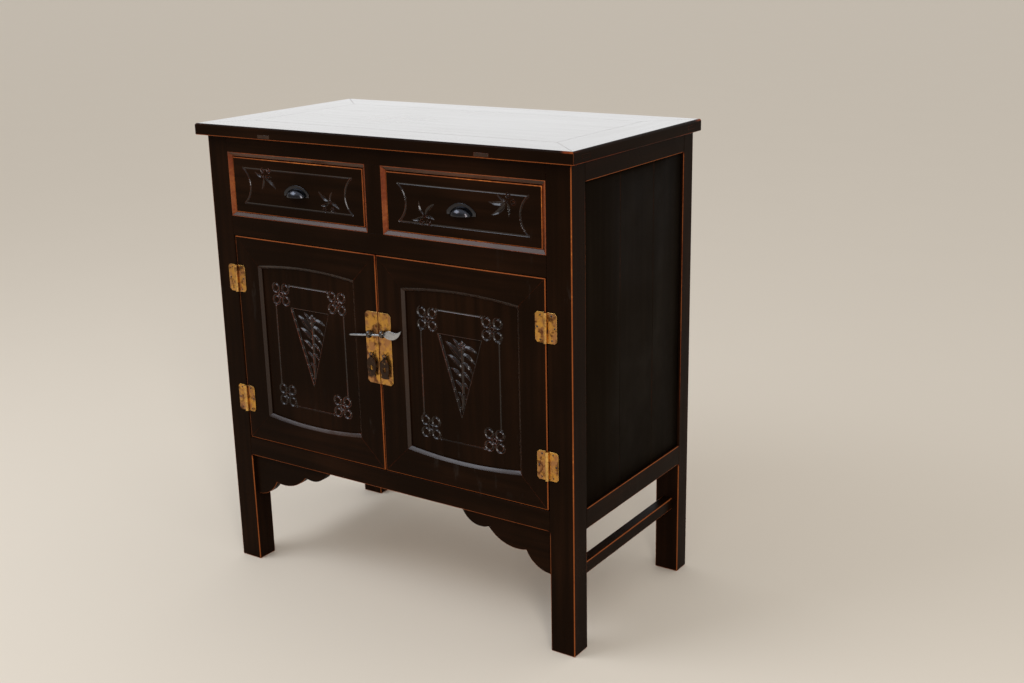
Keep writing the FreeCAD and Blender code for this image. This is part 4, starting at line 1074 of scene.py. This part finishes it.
def surround_strips(work, wear, x, z, front_y, back_y):
    """Mitred strips below, right of, above and left of a drawer, each with a worn outer lip, and painted
    light on the upright strips that is carried as wear.
    """
    size = sizes()
    profile = [(part * size.surround_width, front_y + fall * size.surround_bevel, worn)
               for part, fall, worn in SURROUND_SHARES]
    profile += [(size.surround_width, back_y, 0.0), (0.0, back_y, 0.0)]
    corners = ((x[0], z[0], 1, 1), (x[1], z[0], -1, 1), (x[1], z[1], -1, -1), (x[0], z[1], 1, -1))
    for start, end, painted_light in zip(corners, corners[1:] + corners[:1], STRIP_PAINTED_LIGHT):
        ends = []
        for corner_x, corner_z, right, up in (start, end):
            ends.append([])
            for inset, y, worn in profile:
                vertex = work.verts.new((corner_x + right * inset, y, corner_z + up * inset))
                # The wear here is partly real wear of the lips and partly painted light on the upright
                # strips
                vertex[wear] = max(worn, painted_light)
                ends[-1].append(vertex)
        first, last = ends
        for corner in range(len(profile)):
            after = (corner + 1) % len(profile)
            work.faces.new((first[corner], first[after], last[after], last[corner]))
        work.faces.new(first[::-1])
        work.faces.new(last)


def drawer_surrounds():
    low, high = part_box("drawer_surrounds")
    divider_low, divider_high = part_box("drawer_divider")
    work = bmesh.new()
    wear = work.verts.layers.float.new("wear")
    for x in ((low.x, divider_low.x), (divider_high.x, high.x)):
        surround_strips(work, wear, x, (low.z, high.z), low.y, high.y)
    bmesh.ops.recalc_face_normals(work, faces=work.faces)
    smooth_curves(work)
    settle(new_piece("drawer_surrounds.finished", work, "strip.along_x"), "lacquer",
           "drawer_surrounds")


# Nails of the hinges

# Each nail: share of the way across a leaf from its pin, and of the half height from its middle
NAIL_SHARES = ((0.52, 0.80), (0.80, 0.0), (0.55, -0.80))
NAIL_SEGMENTS = 12
NAIL_RINGS = 8
FLUSH = 2e-5
RANDOM_LEAST, RANDOM_MOST = 2, 3
RANDOM_FLOAT = 1


def nail_tree():
    """Domed heads on the given points, of slightly different sizes."""
    tree = bpy.data.node_groups.new("hinge_nails", "GeometryNodeTree")
    for name, kind in (("Places", "Geometry"), ("Radius", "Float"), ("Dome", "Float"),
                       ("Spread", "Float"), ("Seed", "Int"), ("Finish", "Material")):
        tree.interface.new_socket(name, in_out="INPUT", socket_type=f"NodeSocket{kind}")
    tree.interface.new_socket("Nails", in_out="OUTPUT", socket_type="NodeSocketGeometry")
    wiring = Wiring(tree)
    given = wiring.add("NodeGroupInput").outputs
    ball = wiring.add("GeometryNodeMeshUVSphere", {
        "Segments": NAIL_SEGMENTS, "Rings": NAIL_RINGS, "Radius": 1.0})
    shape = wiring.add("ShaderNodeCombineXYZ", {
        "X": given["Radius"], "Y": given["Dome"], "Z": given["Radius"]})
    head = wiring.add("GeometryNodeTransform", {
        "Geometry": ball.outputs["Mesh"], "Scale": shape.outputs["Vector"]})
    smooth = wiring.add("GeometryNodeSetShadeSmooth", {"Geometry": head.outputs["Geometry"]})
    vary = wiring.add("FunctionNodeRandomValue", {
        RANDOM_LEAST: wiring.math("SUBTRACT", 1.0, given["Spread"]),
        RANDOM_MOST: wiring.plus(1.0, given["Spread"]), "Seed": given["Seed"]}, data_type="FLOAT")
    placed = wiring.add("GeometryNodeInstanceOnPoints", {
        "Points": given["Places"], "Instance": smooth.outputs["Geometry"],
        "Scale": vary.outputs[RANDOM_FLOAT]})
    real = wiring.add("GeometryNodeRealizeInstances", {"Geometry": placed.outputs["Instances"]})
    painted = wiring.add("GeometryNodeSetMaterial", {
        "Geometry": real.outputs["Geometry"], "Material": given["Finish"]})
    wiring.add("NodeGroupOutput", {"Nails": painted.outputs["Geometry"]})
    return tree


def loose_parts(work):
    """The vertices of each part of a mesh that hangs together."""
    parts = []
    remaining = set(work.verts)
    for first in work.verts:
        if first not in remaining:
            continue
        remaining.remove(first)
        part = [first]
        for vertex in part:
            for edge in vertex.link_edges:
                other = edge.other_vert(vertex)
                if other in remaining:
                    remaining.remove(other)
                    part.append(other)
        parts.append(part)
    return parts


def nail_places(node):
    """Three places on each leaf of a node, one near each end and one near its far edge."""
    pins_low, pins_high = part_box("hinge_pins")
    work = welded(node)
    places = []
    for leaf in loose_parts(work):
        back_y = max(vertex.co.y for vertex in leaf)
        back = [vertex.co for vertex in leaf if back_y - vertex.co.y < FLUSH]
        low = Vector([min(point[axis] for point in back) for axis in range(3)])
        high = Vector([max(point[axis] for point in back) for axis in range(3)])
        pin_x = pins_high.x if low.x > 0 else pins_low.x
        right_of_pin = (low.x + high.x) / 2 > pin_x
        near, far = (low.x, high.x) if right_of_pin else (high.x, low.x)
        middle = (low.z + high.z) / 2
        half = (high.z - low.z) / 2
        places += [(near + (far - near) * across, back_y - LEAF_THICK, middle + half * up)
                   for across, up in NAIL_SHARES]
    work.free()
    return places


def nails(node):
    """The nails in the leaves of a node, as one plain mesh."""
    size = sizes()
    mesh = bpy.data.meshes.new(f"{node}.nails")
    mesh.from_pydata(nail_places(node), [], [])
    points = bpy.data.objects.new(f"{node}.points", mesh)
    bpy.context.scene.collection.objects.link(points)
    modifier = points.modifiers.new("nails", "NODES")
    modifier.node_group = bpy.data.node_groups.get("hinge_nails") or nail_tree()
    values = {"Radius": size.nail_radius, "Dome": size.nail_dome, "Spread": size.nail_spread,
              "Seed": size.nail_seed, "Finish": finish_of("iron")}
    for item in modifier.node_group.interface.items_tree:
        if item.in_out == "INPUT" and item.name in values:
            modifier[item.identifier] = values[item.name]
    evaluated = points.evaluated_get(bpy.context.evaluated_depsgraph_get())
    heads = bpy.data.meshes.new_from_object(evaluated)
    bpy.data.objects.remove(points)
    piece = piece_from(f"{node}.nails", heads)
    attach(piece, BODY_OF[node])


# Operators

class CABINET_OT_carcass(bpy.types.Operator):
    """Ease and lacquer the posts, rails, divider and stretchers"""

    bl_idname = "cabinet.carcass"
    bl_label = "Carcass"

    def execute(self, context):
        grains = {
            "along_z": ["drawer_divider"] + [f"post_{depth}_{hand}" for depth in ("front", "rear")
                                             for hand in HANDS],
            "along_x": ["front_upper_rail", "front_middle_rail", "front_lower_rail",
                        "back_upper_rail", "back_lower_rail"],
            "along_y": ["side_stretchers"] + [f"side_{level}_rail_{hand}" for level in ("upper", "lower")
                                              for hand in HANDS],
        }
        for grain, members in grains.items():
            for node in members:
                board(node, "lacquer", f"lacquer.{grain}", sizes().arris)
        return {"FINISHED"}


class CABINET_OT_top(bpy.types.Operator):
    """Ease and polish the mitred top frame and its panel"""

    bl_idname = "cabinet.top"
    bl_label = "Top"

    def execute(self, context):
        for node, grain in (("top_front_rail", "along_x"), ("top_rear_rail", "along_x"),
                            ("top_left_end", "along_y"), ("top_right_end", "along_y"),
                            ("top_panel", "along_x")):
            board(node, "top_lacquer", f"lacquer.{grain}", sizes().under_arris, f"top.{grain}", upward,
                  sizes().top_arris, DULL if grain == "along_y" else BARE)
        return {"FINISHED"}


class CABINET_OT_side_panels(bpy.types.Operator):
    """Make the side panels of upright boards"""

    bl_idname = "cabinet.side_panels"
    bl_label = "Side panels"

    def execute(self, context):
        for hand in HANDS:
            side_panel(hand)
        return {"FINISHED"}


class CABINET_OT_aprons(bpy.types.Operator):
    """Ease and lacquer the scalloped apron brackets"""

    bl_idname = "cabinet.aprons"
    bl_label = "Aprons"

    def execute(self, context):
        for hand in HANDS:
            board(f"apron_bracket_{hand}", "lacquer", "lacquer.along_x", sizes().inner_arris)
        return {"FINISHED"}


class CABINET_OT_drawers(bpy.types.Operator):
    """Carve the drawer fronts and make the strips round them and the boxes behind them"""

    bl_idname = "cabinet.drawers"
    bl_label = "Drawers"

    def execute(self, context):
        drawer_surrounds()
        for hand in HANDS:
            drawer_front(hand)
            for part, grain in (("sides", "along_y"), ("back", "along_x"), ("bottom", "along_x")):
                board(f"{hand}_drawer_{part}", "bare_wood", f"wood.{grain}", sizes().inner_arris)
        return {"FINISHED"}


class CABINET_OT_doors(bpy.types.Operator):
    """Ease the mitred door frames and carve their panels"""

    bl_idname = "cabinet.doors"
    bl_label = "Doors"

    def execute(self, context):
        for hand in HANDS:
            for part, grain in (("hinge_stile", "along_z"), ("meeting_stile", "along_z"),
                                ("top_rail", "along_x"), ("bottom_rail", "along_x")):
                board(f"{hand}_door_{part}", "lacquer", f"lacquer.{grain}", sizes().arris,
                      f"rubbed.{grain}")
            door_panel(hand)
        return {"FINISHED"}


class CABINET_OT_inside(bpy.types.Operator):
    """Make the bare boards inside and at the back"""

    bl_idname = "cabinet.inside"
    bl_label = "Inside"

    def execute(self, context):
        for node, grain in (("bottom_board", "along_x"), ("drawer_runners", "along_y"),
                            ("back_panel", "along_z")):
            board(node, "bare_wood", f"wood.{grain}", sizes().inner_arris)
        board("top_battens", "bare_wood", "rubbed.along_z", sizes().inner_arris, "wood.along_y",
              lengthwise)
        return {"FINISHED"}


class CABINET_OT_hinges(bpy.types.Operator):
    """Finish the brass hinges and drive in their nails"""

    bl_idname = "cabinet.hinges"
    bl_label = "Hinges"

    def execute(self, context):
        fitting("hinge_pins", "brass", "brass")
        for node in ("hinge_post_leaves", "left_door_hinge_leaves", "right_door_hinge_leaves"):
            fitting(node, "brass", "brass")
            nails(node)
        return {"FINISHED"}


class CABINET_OT_lock(bpy.types.Operator):
    """Finish the lock plates, the eyes, the pendants and the latch pin"""

    bl_idname = "cabinet.lock"
    bl_label = "Lock"

    def execute(self, context):
        for hand in HANDS:
            fitting(f"{hand}_door_lock_plate", "brass", "brass")
            fitting(f"{hand}_door_eyes", "white_metal", "eye_metal")
            fitting(f"{hand}_door_pendant", "bronze", "bronze")
        fitting("latch_pin", "white_metal", "white_metal")
        return {"FINISHED"}


class CABINET_OT_pulls(bpy.types.Operator):
    """Finish the cup pulls"""

    bl_idname = "cabinet.pulls"
    bl_label = "Pulls"

    def execute(self, context):
        for hand in HANDS:
            fitting(f"{hand}_drawer_pull", "dark_iron", "iron")
        return {"FINISHED"}


class CABINET_OT_stage(bpy.types.Operator):
    """Set the floor, the soft light and the camera"""

    bl_idname = "cabinet.stage"
    bl_label = "Stage"

    def execute(self, context):
        context.scene.view_settings.view_transform = "Standard"
        floor()
        surrounding_light(context.scene)
        for name, (place, target, size, power, tint) in SOFT_BOXES.items():
            soft_box(name, place, target, size, power, getattr(colours(), tint))
        context.scene.camera = camera()
        return {"FINISHED"}


# Stage

CAMERA_PLACE = Vector((1.42486, -1.90094, 1.15624))
CAMERA_YAW = math.radians(34.0958)
CAMERA_PITCH = math.radians(16.6510)
CAMERA_ROLL = math.radians(-1.2424)
CAMERA_LENS = 46.486
CAMERA_SENSOR = 36.0
FLOOR_HALF = 60.0
FLOOR_DROP = 0.0003
FLOOR_SHADE = 0.9
AMBIENT_LEVEL = 0.80
BEHIND_SPAN = (-0.35, 0.45)
ABOVE_SPAN = (0.35, 0.95)
# Each soft box: its place, the place that it faces, its width and height, its power and its colour
SOFT_BOXES = {
    "sky_box": ((-1.45, -1.65, 2.60), (0.0, -0.1, 0.5), (1.8, 1.3), 38.0, "sky_light"),
    "side_box": ((2.05, -2.1, 1.5), (0.0, -0.1, 0.6), (0.45, 2.2), 30.0, "side_light"),
}


def floor():
    """A plain floor, wide enough to reach the horizon."""
    finish = Finish("pale_floor", Specular_IOR_Level=0.1)
    speck = finish.ramp(finish.noise(3.0, detail=4.0), (0.3, 0.7), (0.0, 0.05))
    tint = finish.mix(speck, colours().floor, [part * FLOOR_SHADE for part in colours().floor])
    finish.set(Base_Color=tint, Roughness=finish.ramp(speck, (0.0, 1.0), (0.85, 0.95)))
    mesh = bpy.data.meshes.new("floor")
    corners = [(x * FLOOR_HALF, y * FLOOR_HALF, -FLOOR_DROP)
               for x, y in ((-1, -1), (1, -1), (1, 1), (-1, 1))]
    mesh.from_pydata(corners, [], [(0, 1, 2, 3)])
    mesh.materials.append(finish.material)
    plane = bpy.data.objects.new("floor", mesh)
    bpy.context.scene.collection.objects.link(plane)


def surrounding_light(scene):
    """White as a backdrop, even as a light; gloss shows it dimmer in front and cool above."""
    scene.world = bpy.data.worlds.new("studio")
    scene.world.use_nodes = True
    wiring = Wiring(scene.world.node_tree)
    tint = colours()
    direction = wiring.add("ShaderNodeTexCoord").outputs["Generated"]
    parts = wiring.add("ShaderNodeSeparateXYZ", {"Vector": direction}).outputs
    level = wiring.mix(wiring.ramp(parts["Y"], BEHIND_SPAN), tint.front_light, tint.backdrop)
    mirrored = wiring.mix(wiring.ramp(parts["Z"], ABOVE_SPAN), level, tint.sky_light)
    rays = wiring.add("ShaderNodeLightPath").outputs
    ambient = [part * AMBIENT_LEVEL for part in tint.ambient]
    lit = wiring.mix(rays["Is Glossy Ray"], ambient, mirrored)
    through = wiring.mix(rays["Is Transmission Ray"], lit, tint.backdrop)
    seen = wiring.mix(rays["Is Camera Ray"], through, tint.backdrop)
    wiring.tree.links.new(seen, wiring.tree.nodes["Background"].inputs["Color"])


def soft_box(name, place, target, size, power, tint):
    """A lamp with a broad face, turned towards a place."""
    lamp = bpy.data.lights.new(name, "AREA")
    lamp.shape = "RECTANGLE"
    lamp.size, lamp.size_y = size
    lamp.energy = power
    lamp.color = tint
    light = bpy.data.objects.new(name, lamp)
    light.location = place
    aim = Vector(target) - Vector(place)
    light.rotation_mode = "QUATERNION"
    light.rotation_quaternion = aim.to_track_quat("-Z", "Y")
    light.visible_camera = False
    bpy.context.scene.collection.objects.link(light)


def camera():
    """A camera at the viewing angle of the photograph."""
    forward = Vector((-math.sin(CAMERA_YAW) * math.cos(CAMERA_PITCH),
                      math.cos(CAMERA_YAW) * math.cos(CAMERA_PITCH), -math.sin(CAMERA_PITCH)))
    right = Vector((math.cos(CAMERA_YAW), math.sin(CAMERA_YAW), 0.0))
    up = right.cross(forward)
    turned_right = math.cos(CAMERA_ROLL) * right + math.sin(CAMERA_ROLL) * up
    turned_up = math.cos(CAMERA_ROLL) * up - math.sin(CAMERA_ROLL) * right
    lens = bpy.data.cameras.new("camera")
    lens.lens = CAMERA_LENS
    lens.sensor_width = CAMERA_SENSOR
    lens.sensor_fit = "HORIZONTAL"
    eye = bpy.data.objects.new("camera", lens)
    turn = Matrix((turned_right, turned_up, -forward)).transposed().to_4x4()
    eye.matrix_world = Matrix.Translation(CAMERA_PLACE) @ turn
    bpy.context.scene.collection.objects.link(eye)
    return eye


# Panel and registration

OPERATORS = (
    CABINET_OT_carcass, CABINET_OT_top, CABINET_OT_side_panels, CABINET_OT_aprons,
    CABINET_OT_drawers, CABINET_OT_doors, CABINET_OT_inside, CABINET_OT_hinges, CABINET_OT_lock,
    CABINET_OT_pulls, CABINET_OT_stage,
)


class CABINET_PT_panel(bpy.types.Panel):
    """Lists the pieces of the cabinet and their sizes and colours"""

    bl_idname = "CABINET_PT_panel"
    bl_label = "Carved cabinet"
    bl_space_type = "VIEW_3D"
    bl_region_type = "UI"
    bl_category = "Cabinet"

    def draw(self, context):
        for operator in OPERATORS:
            self.layout.operator(operator.bl_idname)
        for group in (context.scene.cabinet_sizes, context.scene.cabinet_colours):
            box = self.layout.box()
            for name in group.__annotations__:
                box.prop(group, name)


CLASSES = (CabinetSizes, CabinetColours, *OPERATORS, CABINET_PT_panel)


def register():
    for item in CLASSES:
        bpy.utils.register_class(item)
    bpy.types.Scene.cabinet_sizes = PointerProperty(type=CabinetSizes)
    bpy.types.Scene.cabinet_colours = PointerProperty(type=CabinetColours)


def unregister():
    del bpy.types.Scene.cabinet_colours
    del bpy.types.Scene.cabinet_sizes
    for item in reversed(CLASSES):
        bpy.utils.unregister_class(item)


def main():
    register()
    for operator in OPERATORS:
        group, name = operator.bl_idname.split(".")
        getattr(getattr(bpy.ops, group), name)()


if __name__ == "__main__":
    main()
